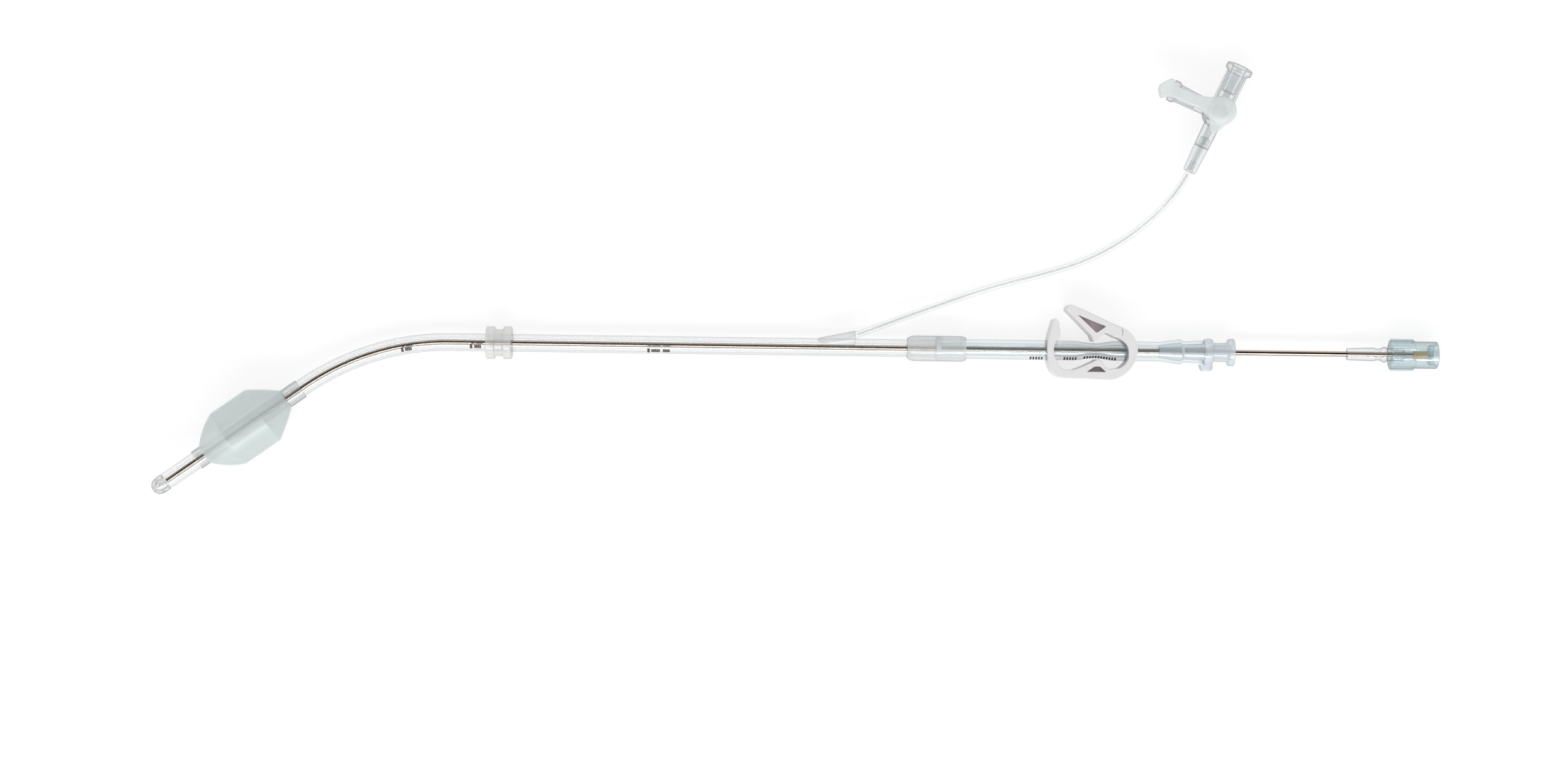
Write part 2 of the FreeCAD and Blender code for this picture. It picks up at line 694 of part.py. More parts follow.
def side_joint():
    """Moulded saddle that carries the side line off the tube."""
    body = new_body("side_joint_blank")
    start = joint_start
    nose = new_sketch(body, "joint_nose_section", "YZ_Plane", start)
    circle(nose, get("joint_nose_rise"), 0, get("joint_nose"))
    mouth = new_sketch(body, "joint_mouth_section", "YZ_Plane", start + get("joint_length"))
    circle(mouth, get("joint_mouth_rise"), 0, get("joint_mouth"))
    loft = body.newObject("PartDesign::AdditiveLoft", "joint_loft")
    loft.Profile = nose
    loft.Sections = [mouth]
    loft.Ruled = True
    place(body, get("bend_start_x"), get("axis_y"), get("axis_height"), V(1, 0, 0), get("joint_roll"))
    tube = doc.addObject("Part::Cylinder", "joint_tube_space")
    bind(tube, "Radius", get("tube_od") / 2)
    bind(tube, "Height", get("joint_length") + get("cut_over") * 2)
    tube.Placement = FreeCAD.Placement(V(0, 0, 0), FreeCAD.Rotation(V(0, 1, 0), 90))
    bind(tube, "Placement.Base.x", get("bend_start_x") + start - get("cut_over"))
    bind(tube, "Placement.Base.y", get("axis_y"))
    bind(tube, "Placement.Base.z", get("axis_height"))
    points, inward = line_points()
    socket = doc.addObject("Part::Cylinder", "joint_socket")
    bind(socket, "Radius", get("line_od") / 2)
    bind(socket, "Height", get("joint_grip") + get("cut_over"))
    socket.Placement = FreeCAD.Placement(points[0], FreeCAD.Rotation(V(0, 0, 1), inward * -1))
    tools = doc.addObject("Part::MultiFuse", "joint_spaces")
    tools.Shapes = [tube, socket]
    piece = doc.addObject("Part::Cut", "side_joint")
    piece.Label = "side_joint"
    piece.Base = body
    piece.Tool = tools


def side_line():
    """Pressure line as straight runs joined by tangent arcs, swept as a plain tube."""
    points, _ = line_points()
    edges = []
    here = points[0]
    radii = []
    for before, corner, after in zip(points, points[1:], points[2:]):
        arriving = (corner - before).normalize()
        leaving = (after - corner).normalize()
        turn = arriving.getAngle(leaving)
        reach = 0.45 * min((corner - before).Length, (after - corner).Length)
        radius = reach / math.tan(turn / 2)
        radii.append(round(radius, 1))
        enter = corner - arriving * reach
        leave = corner + leaving * reach
        inward = (leaving - arriving).normalize()
        centre = corner + inward * math.hypot(reach, radius)
        middle = centre - inward * radius
        edges.append(Part.LineSegment(here, enter).toShape())
        edges.append(Part.Arc(enter, middle, leave).toShape())
        here = leave
    edges.append(Part.LineSegment(here, points[-1]).toShape())
    path = Part.Wire(edges)
    way = (points[1] - points[0]).normalize()
    outer = Part.Wire(Part.Circle(points[0], way, get("line_od").value / 2).toShape())
    tube = path.makePipeShell([outer], True, False)
    section = math.pi * get("line_od").value ** 2 / 4
    print("side line radii", radii)
    share = tube.Volume / (section * path.Length)
    print("side line length", round(path.Length, 2), "volume share", round(share, 4))
    piece = doc.addObject("Part::Feature", "side_line")
    piece.Label = "side_line"
    piece.Shape = tube


def place_stopcock(body, turn=0.0):
    angle = get("run_angle") + turn
    hub_x = get("bend_start_x") + get("tube_straight") + get("hub_ahead")
    hub_y = get("axis_y") + get("hub_offset")
    place(body, hub_x, hub_y, 0, V(0, 0, 1), angle)


def luer_leg(body, name, reach, role, way):
    """A female luer along the body's own X (run) or Y (side port), bored to its cone."""
    barrel = get("luer_barrel") / 2
    lug = get("luer_lug") / 2
    root = barrel - get("luer_draft")
    sketch = body.newObject("Sketcher::SketchObject", f"{name}_profile")
    sketch.AttachmentSupport = (base_plane(body, role), [""])
    sketch.MapMode = "FlatFace"
    bind(sketch, "AttachmentOffset.Base.y", get("leg_height"))
    chamfer = get("luer_edge")
    draw(sketch, [
        (0, 0),
        (way * reach, 0),
        (way * reach, lug - chamfer),
        (way * (reach - chamfer), lug),
        (way * (reach - get("luer_lug_width")), lug),
        (way * (reach - get("luer_lug_width") - get("luer_flare")), barrel),
        (way * get("plug_od") / 2, root),
        (0, root),
    ])
    turned(body, sketch, name)


def luer_bore(body, name, reach, role, way):
    """The luer's cone and the passage behind it, back to the plug."""
    mouth = get("luer_mouth") / 2
    bottom = mouth - get("luer_depth") * get("luer_taper")
    sketch = body.newObject("Sketcher::SketchObject", f"{name}_profile")
    sketch.AttachmentSupport = (base_plane(body, role), [""])
    sketch.MapMode = "FlatFace"
    bind(sketch, "AttachmentOffset.Base.y", get("leg_height"))
    flow = get("flow_bore") / 2
    over = get("cut_over")
    draw(sketch, [
        (0, 0),
        (way * (reach + over), 0),
        (way * (reach + over), mouth),
        (way * reach, mouth),
        (way * (reach - get("luer_depth")), bottom),
        (way * (reach - get("luer_depth")), flow),
        (0, flow),
    ])
    turned(body, sketch, name, cut=True)


def stopcock_body():
    """Clear three-way body: barrel, open luer, side port with luer, and the line's leg."""
    body = new_body("stopcock_body")
    barrel = new_sketch(body, "barrel_profile", "XZ_Plane")
    outer = get("barrel_od") / 2
    top = get("barrel_height")
    edge = get("barrel_edge")
    draw(barrel, [
        (0, 0),
        (outer - edge, 0),
        (outer, edge),
        (outer, top - edge),
        (outer - edge, top),
        (0, top),
    ])
    turned(body, barrel, "barrel", axis="V_Axis")
    luer_leg(body, "run_luer", get("luer_reach"), "XZ_Plane", 1)
    luer_leg(body, "port_luer", get("port_reach"), "YZ_Plane", 1)
    leg = body.newObject("Sketcher::SketchObject", "leg_profile")
    leg.AttachmentSupport = (base_plane(body, "XZ_Plane"), [""])
    leg.MapMode = "FlatFace"
    bind(leg, "AttachmentOffset.Base.y", get("leg_height"))
    reach = get("leg_reach")
    draw(leg, [(0, 0), (-reach, 0), (-reach, get("sleeve_root") / 2), (0, get("leg_root") / 2)])
    turned(body, leg, "line_leg")
    ribs = new_sketch(body, "rib_section", "XZ_Plane")
    rib_top = get("leg_height") + get("run_rib") / 2
    rib_low = get("leg_height") - get("run_rib") / 2
    rib_end = get("luer_reach") - get("luer_lug_width") - get("luer_edge")
    draw(ribs, [(0, rib_low), (rib_end, rib_low), (rib_end, rib_top), (0, rib_top)])
    padded(body, ribs, "run_ribs", get("run_rib_span"), both_ways=True)
    luer_bore(body, "run_bore", get("luer_reach"), "XZ_Plane", 1)
    luer_bore(body, "port_bore", get("port_reach"), "YZ_Plane", 1)
    socket = body.newObject("Sketcher::SketchObject", "socket_profile")
    socket.AttachmentSupport = (base_plane(body, "XZ_Plane"), [""])
    socket.MapMode = "FlatFace"
    bind(socket, "AttachmentOffset.Base.y", get("leg_height"))
    spigot = get("sleeve_spigot") / 2
    inner = reach - get("line_grip")
    flow = get("flow_bore") / 2
    open_end = -reach - get("cut_over")
    draw(socket, [(0, 0), (open_end, 0), (open_end, spigot), (-inner, spigot), (-inner, flow), (0, flow)])
    turned(body, socket, "leg_socket", cut=True)
    seat = new_sketch(body, "seat_profile", "XZ_Plane")
    plug = get("plug_od") / 2 + get("plug_gap")
    foot = get("plug_foot") - get("plug_foot_gap")
    open_top = top + get("cut_over")
    draw(seat, [(0, foot), (plug, foot), (plug, open_top), (0, open_top)])
    turned(body, seat, "plug_seat", cut=True, axis="V_Axis")
    place_stopcock(body)


def stopcock_handle():
    """Frosted handle and its plug in one moulding, with a long arm over the side port."""
    body = new_body("stopcock_handle")
    plug = get("plug_od") / 2
    low = get("barrel_height") + get("handle_lift")
    top = low + get("handle_height")
    rim = get("handle_od") / 2
    profile = new_sketch(body, "handle_profile", "XZ_Plane")
    draw(profile, [
        (0, get("plug_foot")),
        (plug, get("plug_foot")),
        (plug, low),
        (rim, low),
        (rim, top - get("dome_drop"), get("dome_arc")),
        (get("dome_rim"), top - get("dome_sag")),
        (0, top),
    ])
    turned(body, profile, "plug_and_hub", axis="V_Axis")
    arm = new_sketch(body, "arm_outline", "XY_Plane", low)
    half = get("arm_half")
    root = get("arm_root_half")
    skew = get("arm_skew")
    wide = get("arm_wide_half")
    shoulder = get("arm_shoulder")
    sweep = get("arm_sweep")
    flare = get("arm_flare_arc")
    high_end = get("arm_end_high")
    low_end = get("arm_end_low")
    draw(arm, [
        (-root, get("arm_inside")),
        (root, get("arm_inside")),
        (root, get("arm_start"), -sweep),
        (half, get("arm_neck")),
        (half, get("arm_flare"), -flare),
        (wide + skew, shoulder - skew),
        (wide, shoulder + get("arm_corner")),
        (high_end, get("arm_reach")),
        (-low_end, get("arm_reach")),
        (skew - wide, shoulder + skew + get("arm_blunt")),
        (skew - wide, shoulder + skew, -flare),
        (-half, get("arm_flare")),
        (-half, get("arm_neck"), -sweep),
        (-root, get("arm_start")),
    ])
    padded(body, arm, "arm", get("arm_height"))
    lobe = new_sketch(body, "lobe_outline", "XY_Plane", low)
    root = get("lobe_root")
    inside = get("lobe_inside")
    draw(lobe, [
        (0, -root),
        (0, root),
        (-inside, root),
        (-get("lobe_reach"), get("lobe_half"), get("lobe_round")),
        (-get("lobe_reach"), -get("lobe_half")),
        (-inside, -root),
    ])
    padded(body, lobe, "lobe", get("lobe_thick"))
    flow = get("flow_bore") / 2
    run_way = new_sketch(body, "run_way_section", "YZ_Plane")
    circle(run_way, 0, get("leg_height"), flow)
    pocketed(body, run_way, "run_way", get("plug_od") + get("cut_over"), both_ways=True)
    port_way = new_sketch(body, "port_way_section", "XZ_Plane")
    circle(port_way, 0, get("leg_height"), flow)
    pocketed(body, port_way, "port_way", get("plug_od"))
    place_stopcock(body, get("handle_turn"))


def line_sleeve():
    """Bonded bush that closes the stopcock's leg on the side line."""
    body = new_body("line_sleeve")
    reach = get("sleeve_reach")
    face = get("leg_reach")
    spigot = get("sleeve_spigot") / 2
    bore = get("line_od") / 2
    flow = get("line_bore") / 2
    stop = reach - get("line_grip")
    inner = face - get("line_grip") + get("spigot_gap")
    edge = get("sleeve_edge")
    profile = body.newObject("Sketcher::SketchObject", "sleeve_profile")
    profile.AttachmentSupport = (base_plane(body, "XZ_Plane"), [""])
    profile.MapMode = "FlatFace"
    bind(profile, "AttachmentOffset.Base.y", get("leg_height"))
    draw(profile, [
        (-inner, flow),
        (-inner, spigot),
        (-face, spigot),
        (-face, get("sleeve_root") / 2),
        (-reach + edge, get("sleeve_end") / 2),
        (-reach, get("sleeve_end") / 2 - edge),
        (-reach, bore),
        (-stop, bore),
        (-stop, flow),
    ])
    turned(body, profile, "sleeve_turned")
    place_stopcock(body)


def coupling_sleeve():
    body = new_body("coupling_sleeve")
    start = get("tube_straight") - get("coupling_grip")
    end = start + get("coupling_length")
    outer = get("coupling_od") / 2
    near = get("tube_od") / 2
    far = get("ext_od") / 2
    rib = get("coupling_rib") / 2
    stop = get("tube_straight")
    profile = new_sketch(body, "coupling_profile")
    draw(profile, [
        (start, near),
        (start, near + get("coupling_lip")),
        (start + get("coupling_near_chamfer"), outer),
        (end - get("coupling_far_chamfer"), outer),
        (end, far + get("coupling_lip")),
        (end, far),
        (ext_start, far),
        (ext_start, rib),
        (stop, rib),
        (stop, near),
    ])
    turned(body, profile, "coupling_turned")
    place_on_axis(body)


def barb_outline(swell):
    """Stations and radii of the barb, or of the tube's wall that lies on it."""
    ridge = barb_tip + get("barb_rise")
    return [
        (barb_tip, get("barb_nose") / 2 + swell),
        (ridge, get("barb_od") / 2 + swell),
        (ridge + get("barb_land"), get("barb_od") / 2 + swell),
        (ridge + get("barb_fall"), get("barb_neck") / 2 + swell),
        (ext_end, get("barb_root") / 2 + swell),
    ]


def dent_section(name, station, half, wide):
    """One oval section of the extension tube, tall along Z where the nubs press it."""
    ring = doc.addObject("Part::Ellipse", name)
    turn = FreeCAD.Rotation(V(0, 0, 1), V(0, -1, 0), V(1, 0, 0))
    ring.Placement = FreeCAD.Placement(V(0, 0, 0), turn)
    bind(ring, "MajorRadius", wide)
    bind(ring, "MinorRadius", half)
    bind(ring, "Placement.Base.x", get("bend_start_x") + station)
    bind(ring, "Placement.Base.y", get("axis_y"))
    bind(ring, "Placement.Base.z", get("axis_height"))
    return ring


def dented_run(name, round_half, dent_half, dent_wide):
    """The stretch of tube between the clamp's legs as a smooth loft through three ovals."""
    reach = get("dent_length")
    rings = [
        dent_section(f"{name}_near", nub_line - reach, round_half, round_half),
        dent_section(f"{name}_waist", nub_line, dent_half, dent_wide),
        dent_section(f"{name}_far", nub_line + reach, round_half, round_half),
    ]
    loft = doc.addObject("Part::Loft", name)
    loft.Sections = rings
    loft.Solid = True
    loft.Ruled = False
    return loft


def extension_tube():
    """Soft tube, stretched over the barb at one end and dented by the clamp's nubs."""
    outer = get("ext_od") / 2
    inner = get("ext_bore") / 2
    wall = outer - inner
    dent_from = nub_line - get("dent_length")
    dent_to = nub_line + get("dent_length")
    body = new_body("extension_turned")
    near = new_sketch(body, "near_run")
    draw(near, [(ext_start, inner), (dent_from, inner), (dent_from, outer), (ext_start, outer)])
    turned(body, near, "near_turned")
    place_on_axis(body)
    far_body = new_body("extension_far")
    far = new_sketch(far_body, "far_run")
    on_barb = barb_outline(wall - get("barb_squeeze"))
    in_barb = barb_outline(as_dim(0))
    outline = [(dent_to, inner), (dent_to, outer), (barb_tip - get("barb_lead"), outer)]
    outline += on_barb[1:]
    outline += list(reversed(in_barb[1:]))
    outline += [in_barb[0], (barb_tip, inner)]
    draw(far, outline)
    turned(far_body, far, "far_turned")
    place_on_axis(far_body)
    skin = dented_run("dent_skin", outer, get("dent_half"), get("dent_wide_half"))
    hollow = dented_run("dent_hollow", inner, get("dent_half") - wall, get("dent_wide_half") - wall)
    waist = doc.addObject("Part::Cut", "dent_wall")
    waist.Base = skin
    waist.Tool = hollow
    piece = doc.addObject("Part::MultiFuse", "extension_tube")
    piece.Label = "extension_tube"
    piece.Shapes = [body, waist, far_body]


def luer_fitting():
    """Moulded fitting: barb, flange with two wings, neck and open luer."""
    body = new_body("luer_fitting")
    bore = get("barb_bore") / 2
    mouth = get("luer_mouth") / 2
    bottom = mouth - get("luer_depth") * get("luer_taper")
    cone = fitting_end - get("luer_depth")
    lug = get("luer_lug") / 2
    neck = get("luer_barrel") / 2
    flange = get("flange_od") / 2
    flange_end = flange_start + get("flange_thick")
    profile = new_sketch(body, "fitting_profile")
    outline = [(barb_tip, bore)] + barb_outline(as_dim(0))
    edge = get("flange_edge")
    lug_start = fitting_end - get("luer_lug_width")
    outline += [
        (flange_start, flange - edge),
        (flange_start + edge, flange),
        (flange_end - edge, flange),
        (flange_end, flange - edge),
        (flange_end, neck),
        (lug_start - get("lug_cone"), neck),
        (lug_start, lug),
        (fitting_end - get("luer_edge"), lug),
        (fitting_end, lug - get("luer_edge")),
        (fitting_end, mouth),
        (cone, bottom),
        (cone, bore),
    ]
    draw(profile, outline)
    turned(body, profile, "fitting_turned")
    wings = new_sketch(body, "wing_outline")
    tip_y = get("wing_half")
    low_y = get("low_wing_half")
    inner = bore + get("wing_inside")
    back = flange_start + get("wing_back")
    front = flange_end - get("wing_front")
    shoulder = tip_y - get("wing_crown")
    draw(wings, [(back, inner), (front, inner), (front, shoulder, get("wing_arc")), (back, shoulder)])
    low_x = flange_start - get("wing_extra")
    swollen = get("barb_root") / 2 + (get("ext_od") - get("ext_bore")) / 2 + get("wing_gap")
    draw(wings, [
        (back, -inner),
        (back, -swollen),
        (low_x, -swollen),
        (low_x + get("low_wing_lean"), get("low_wing_heel") - low_y, get("low_wing_arc")),
        (flange_start, -low_y),
        (front - get("low_wing_toe"), -low_y, get("wing_arc")),
        (front, get("low_wing_toe") - low_y),
        (front, -inner),
    ])
    padded(body, wings, "wings", get("wing_height"), both_ways=True)
    clear = new_sketch(body, "wing_bore_profile")
    draw(clear, [(flange_start, 0), (flange_end, 0), (flange_end, bore), (flange_start, bore)])
    turned(body, clear, "wing_bore", cut=True)
    place_on_axis(body)


def clamp_hole(body, name, from_x, length):
    """The round hole that one leg of the clamp has for the tube."""
    hole = new_sketch(body, f"{name}_section", "YZ_Plane", from_x)
    circle(hole, 0, 0, get("ext_od") / 2 + get("clamp_tube_gap"))
    pocketed(body, hole, name, length, reversed_way=True)


def window_pockets(body, name, window):
    """A three-cornered recess in each side of the clamp, with a thin web left between them."""
    for side, way in (("top", 1), ("under", -1)):
        sketch = new_sketch(body, f"{name}_{side}_window", along=get("clamp_width") / 2 * way)
        draw(sketch, window)
        pocketed(body, sketch, f"{name}_{side}_recess", get("window_depth"), reversed_way=way < 0)


def clamp_frame():
    """Body of the pinch clamp: latch leg, lower bar with its nub and window, and loop."""
    body = new_body("clamp_frame")
    outline = new_sketch(body, "frame_outline")
    hinge_x = get("hinge_x")
    hinge_y = get("hinge_y")
    seat = get("hinge_seat")
    face = [(hinge_x + seat, hinge_y - get("seat_low")), (hinge_x + seat, hinge_y + get("seat_high"))]
    draw(outline, face + clamp_corners(
        "loop_top", "loop_low", "bar_right", "bar_left", "heel", "leg_back", "latch_back", "latch_tip",
        "latch_face", "latch_nose", "latch_under", "latch_root", "leg_front", "leg_foot", "bar_inner",
        "bar_dip", "nub_rise", "nub_left", "nub_right", "nub_foot", "bay_left", "bay_right",
        "loop_inner_low", "loop_inner_top"))
    padded(body, outline, "frame_pad", get("clamp_width"), both_ways=True)
    window_pockets(body, "bar", clamp_corners("bar_window_top", "bar_window_left", "bar_window_right"))
    socket = new_sketch(body, "knuckle_socket")
    circle(socket, hinge_x, hinge_y, get("hinge_knuckle") + get("hinge_gap"))
    pocketed(body, socket, "knuckle_pocket", get("clamp_width") + 2, both_ways=True)
    clamp_hole(body, "leg_hole", get("leg_hole_from"), get("leg_hole_run"))
    clamp_hole(body, "loop_hole", get("loop_hole_from"), get("loop_hole_run"))
    place(body, get("bend_start_x") + nub_line, get("axis_y"), get("axis_height"))


def clamp_lever():
    """Lever of the pinch clamp with its nub, its window and the round end of its hinge."""
    body = new_body("clamp_lever")
    hinge_x = get("hinge_x")
    hinge_y = get("hinge_y")
    outline = new_sketch(body, "lever_outline")
    strap = get("hinge_strap")
    face = [(hinge_x - strap, hinge_y - get("strap_under")), (hinge_x - strap, hinge_y + get("strap_over"))]
    under = clamp_corners(
        "tail_top", "tail_back", "tail_low", "press_left", "press_nose", "press_right",
        "press_foot", "strap_low")
    draw(outline, under + face + clamp_corners("strap_high", "tail_crown"))
    padded(body, outline, "lever_pad", get("clamp_width"), both_ways=True)
    window = clamp_corners("lever_window_tail", "lever_window_nose", "lever_window_strap")
    window_pockets(body, "lever", window)
    knuckle = new_sketch(body, "knuckle_outline")
    circle(knuckle, hinge_x, hinge_y, get("hinge_knuckle"))
    padded(body, knuckle, "knuckle", get("clamp_width"), both_ways=True)
    place(body, get("bend_start_x") + nub_line, get("axis_y"), get("axis_height"))


def stylet_rod():
    body = new_body("stylet_rod")
    end = cup_start + get("core_length") - get("core_cover")
    path = bend_path(body, "rod_path", end, get("tube_distal") - get("rod_short"))
    section = new_sketch(body, "rod_section", "YZ_Plane", end)
    circle(section, 0, 0, get("rod_od") / 2)
    sweep = body.newObject("PartDesign::AdditivePipe", "rod_sweep")
    sweep.Profile = section
    sweep.Spine = path
    place_in_bend_plane(body)


def stylet_sleeve():
    """Clear cone on the rod, with a snap ring and a root held in the grip."""
    body = new_body("stylet_sleeve")
    rod = get("rod_od") / 2
    nose = get("cone_nose") / 2
    ring = get("cone_ring") / 2
    edge = get("cone_edge")
    waist = cone_start + get("waist_station")
    ring_start = grip_start - get("ring_back")
    profile = new_sketch(body, "cone_profile")
    draw(profile, [
        (cone_start, rod),
        (cone_start, nose - edge),
        (cone_start + edge, nose),
        (waist - get("cone_step"), nose + get("cone_swell")),
        (waist, nose - get("cone_waist")),
        (waist + get("waist_length"), nose - get("cone_waist")),
        (ring_start, ring),
        (ring_start + get("ring_width"), ring),
        (ring_start + get("ring_width") + get("cone_step"), nose),
        (grip_start + get("cone_socket"), nose),
        (grip_start + get("cone_socket"), rod),
    ])
    turned(body, profile, "cone_turned")
    place_on_axis(body)


def stylet_handle():
    """Tinted handle: ribbed grip, plain end with a recess, and the bores inside."""
    body = new_body("stylet_handle")
    grip = get("grip_od") / 2
    cup = get("cup_od") / 2
    socket = get("cone_nose") / 2
    rod = get("rod_od") / 2
    core = get("core_od") / 2
    recess = get("cup_bore") / 2
    socket_end = grip_start + get("cone_socket")
    core_end = cup_start + get("core_length")
    floor = handle_end - get("cup_recess")
    edge = get("grip_edge")
    profile = new_sketch(body, "handle_section")
    draw(profile, [
        (grip_start, socket),
        (grip_start, grip - edge),
        (grip_start + edge, grip),
        (cup_start - edge, grip),
        (cup_start, grip - edge),
        (cup_start, cup),
        (handle_end - get("cup_edge"), cup),
        (handle_end, cup - get("cup_edge")),
        (handle_end, recess),
        (floor, recess),
        (floor, 0),
        (core_end, 0),
        (core_end, core),
        (cup_start, core),
        (cup_start, rod),
        (socket_end, rod),
        (socket_end, socket),
    ])
    turned(body, profile, "handle_turned")
    rib = new_sketch(body, "rib_section", "YZ_Plane", grip_start + edge)
    half = get("grip_rib_width") / 2
    crest = grip + get("grip_rib")
    root = grip - get("rib_root")
    top = get("grip_rib_top") / 2
    draw(rib, [(-half, root), (half, root), (top, crest), (-top, crest)])
    first = padded(body, rib, "grip_rib", get("grip_length") - edge * 2)
    doc.recompute()
    ring = body.newObject("PartDesign::PolarPattern", "grip_ribs")
    ring.Originals = [first]
    ring.Axis = (base_plane(body, "X_Axis"), [""])
    ring.Angle = 360
    bind(ring, "Occurrences", get("grip_ribs"))
    body.Tip = ring
    place_on_axis(body)


def resin_plug():
    """Amber resin round the rod's end, seen through the handle."""
    body = new_body("resin_plug")
    rod = get("rod_od") / 2
    core = get("core_od") / 2
    end = cup_start + get("core_length")
    rod_end = end - get("core_cover")
    profile = new_sketch(body, "resin_profile")
    draw(profile, [(cup_start, rod), (rod_end, rod), (rod_end, 0), (end, 0), (end, core), (cup_start, core)])
    turned(body, profile, "resin_turned")
    place_on_axis(body)


NODES = [
    "cannula_tube",
    "tip",
    "balloon",
    "suture_collar",
    "side_joint",
    "side_line",
    "line_sleeve",
    "stopcock_body",
    "stopcock_handle",
    "coupling_sleeve",
    "extension_tube",
    "luer_fitting",
    "clamp_frame",
    "clamp_lever",
    "stylet_rod",
    "stylet_sleeve",
    "stylet_handle",
    "resin_plug",
]


def check_and_export():
    """Stop on any failed feature or bad solid, then write one file for each piece."""
    for thing in doc.Objects:
        if "Invalid" in thing.State or "Error" in thing.State:
            raise RuntimeError(f"{thing.Name} failed: {thing.State}")
    os.makedirs("parts", exist_ok=True)
    low = FreeCAD.BoundBox()
    for name in NODES:
        piece = doc.getObjectsByLabel(name)[0]
        shape = piece.Shape
        if shape.isNull() or not shape.isValid():
            raise RuntimeError(f"{name} has no valid shape")
        print(name, len(shape.Solids), "solids", round(shape.Volume, 2), "mm3")
        if name not in ("side_line", "line_sleeve", "stopcock_body", "stopcock_handle"):
            low.add(shape.optimalBoundingBox(False))
        shape.exportStep(f"parts/{name}.step")
    print("box without the side line", [round(value, 2) for value in (low.XMin, low.YMin, low.ZMin)],
          [round(value, 2) for value in (low.XMax, low.YMax, low.ZMax)])


for make in (cannula_tube, tip, balloon, suture_collar, side_joint, side_line, line_sleeve,
             stopcock_body, stopcock_handle, coupling_sleeve, extension_tube, luer_fitting,
             clamp_frame, clamp_lever, stylet_rod, stylet_sleeve, stylet_handle, resin_plug):
    make()
doc.recompute()
check_and_export()
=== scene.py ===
# %% [markdown]
# # Dressing a balloon-tipped cannula
#
# The packed model already has every part at its true size and place. This lesson gives each part
# the surface that the real one has: clear soft tube, frosted mouldings, a milky balloon, a white
# pinch clamp and a bright steel wire. The frame is loaded first, because every later cell builds
# on its bodies and never moves them.

# %% Load the frame
import bmesh
import bpy
import math
from mathutils import Matrix, Vector
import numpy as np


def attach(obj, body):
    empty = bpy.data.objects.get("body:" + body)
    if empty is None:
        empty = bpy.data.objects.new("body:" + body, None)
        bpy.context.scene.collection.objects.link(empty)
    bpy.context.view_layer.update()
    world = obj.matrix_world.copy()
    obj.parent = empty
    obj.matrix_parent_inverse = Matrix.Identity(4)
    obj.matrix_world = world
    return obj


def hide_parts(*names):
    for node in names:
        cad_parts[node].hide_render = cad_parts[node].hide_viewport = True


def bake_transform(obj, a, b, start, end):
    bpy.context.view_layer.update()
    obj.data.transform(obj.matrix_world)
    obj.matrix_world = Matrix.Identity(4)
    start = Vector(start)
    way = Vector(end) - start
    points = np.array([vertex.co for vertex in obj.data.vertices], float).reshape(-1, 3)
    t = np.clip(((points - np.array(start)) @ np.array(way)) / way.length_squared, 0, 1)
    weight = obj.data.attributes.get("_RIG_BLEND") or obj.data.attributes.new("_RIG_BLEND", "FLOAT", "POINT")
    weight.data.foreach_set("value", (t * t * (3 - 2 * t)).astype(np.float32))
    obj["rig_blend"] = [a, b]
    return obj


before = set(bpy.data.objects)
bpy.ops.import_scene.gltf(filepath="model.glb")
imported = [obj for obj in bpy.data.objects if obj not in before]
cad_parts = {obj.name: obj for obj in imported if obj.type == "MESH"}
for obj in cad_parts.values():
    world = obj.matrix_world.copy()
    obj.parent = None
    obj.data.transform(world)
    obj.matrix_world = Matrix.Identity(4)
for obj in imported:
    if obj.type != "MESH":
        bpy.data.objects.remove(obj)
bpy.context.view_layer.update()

# %% [markdown]
# ## Places
#
# The part's source measures in millimetres from the start of the preset bend, and Blender works
# in metres. Each group of pieces gets one matrix, its "bench", so that a piece can be drawn with
# the numbers that a drawing would have and then be put in place in one step. The bend lies in a
# plane that is tilted up, because the balloon lifts the tube's end off the table.

# %% Benches for the pieces
MM = 0.001
BEND_START = Vector((-99.88, 15.7, 5.0))
BEND_RADIUS, BEND_ANGLE = 70.0, math.radians(36.25)
BALLOON_MIDDLE, BALLOON_RADIUS, BALLOON_REST = 20.0, 8.75, 0.54
TUBE_STRAIGHT, TUBE_DISTAL = 139.5, 47.2
bend_drop = BEND_RADIUS * (1 - math.cos(BEND_ANGLE))
bend_run = BEND_RADIUS * math.sin(BEND_ANGLE)
balloon_drop = bend_drop + BALLOON_MIDDLE * math.sin(BEND_ANGLE)
tilt = math.asin((BALLOON_RADIUS + BALLOON_REST - BEND_START.z) / balloon_drop)
STRAIGHT = Matrix.Translation(BEND_START)
BEND = STRAIGHT @ Matrix.Rotation(-tilt, 4, "X")
DISTAL = BEND @ Matrix.Translation((-bend_run, -bend_drop, 0)) @ Matrix.Rotation(BEND_ANGLE + math.pi, 4, "Z")
HUB = BEND_START + Vector((TUBE_STRAIGHT + 79.85, 68.6, -BEND_START.z))
STOPCOCK = Matrix.Translation(HUB) @ Matrix.Rotation(math.radians(64.6), 4, "Z")
EXT_START = TUBE_STRAIGHT + 1.5
EXT_END = EXT_START + 75.3
NUBS = EXT_START + 43.9
CLAMP = STRAIGHT @ Matrix.Translation((NUBS, 0, 0))
UPRIGHT = Matrix.Rotation(math.radians(-90), 4, "Y")
print("tilt of the bend", round(math.degrees(tilt), 2), "degrees")

# %% [markdown]
# ## Camera
#
# The picture looks straight down on the table. A flat projection would do for the outline, but
# the clamp's side walls show, so the camera stands at a real distance, three quarters of a metre
# over the tube. The lens then follows from the width that the frame shows at the tube's axis.

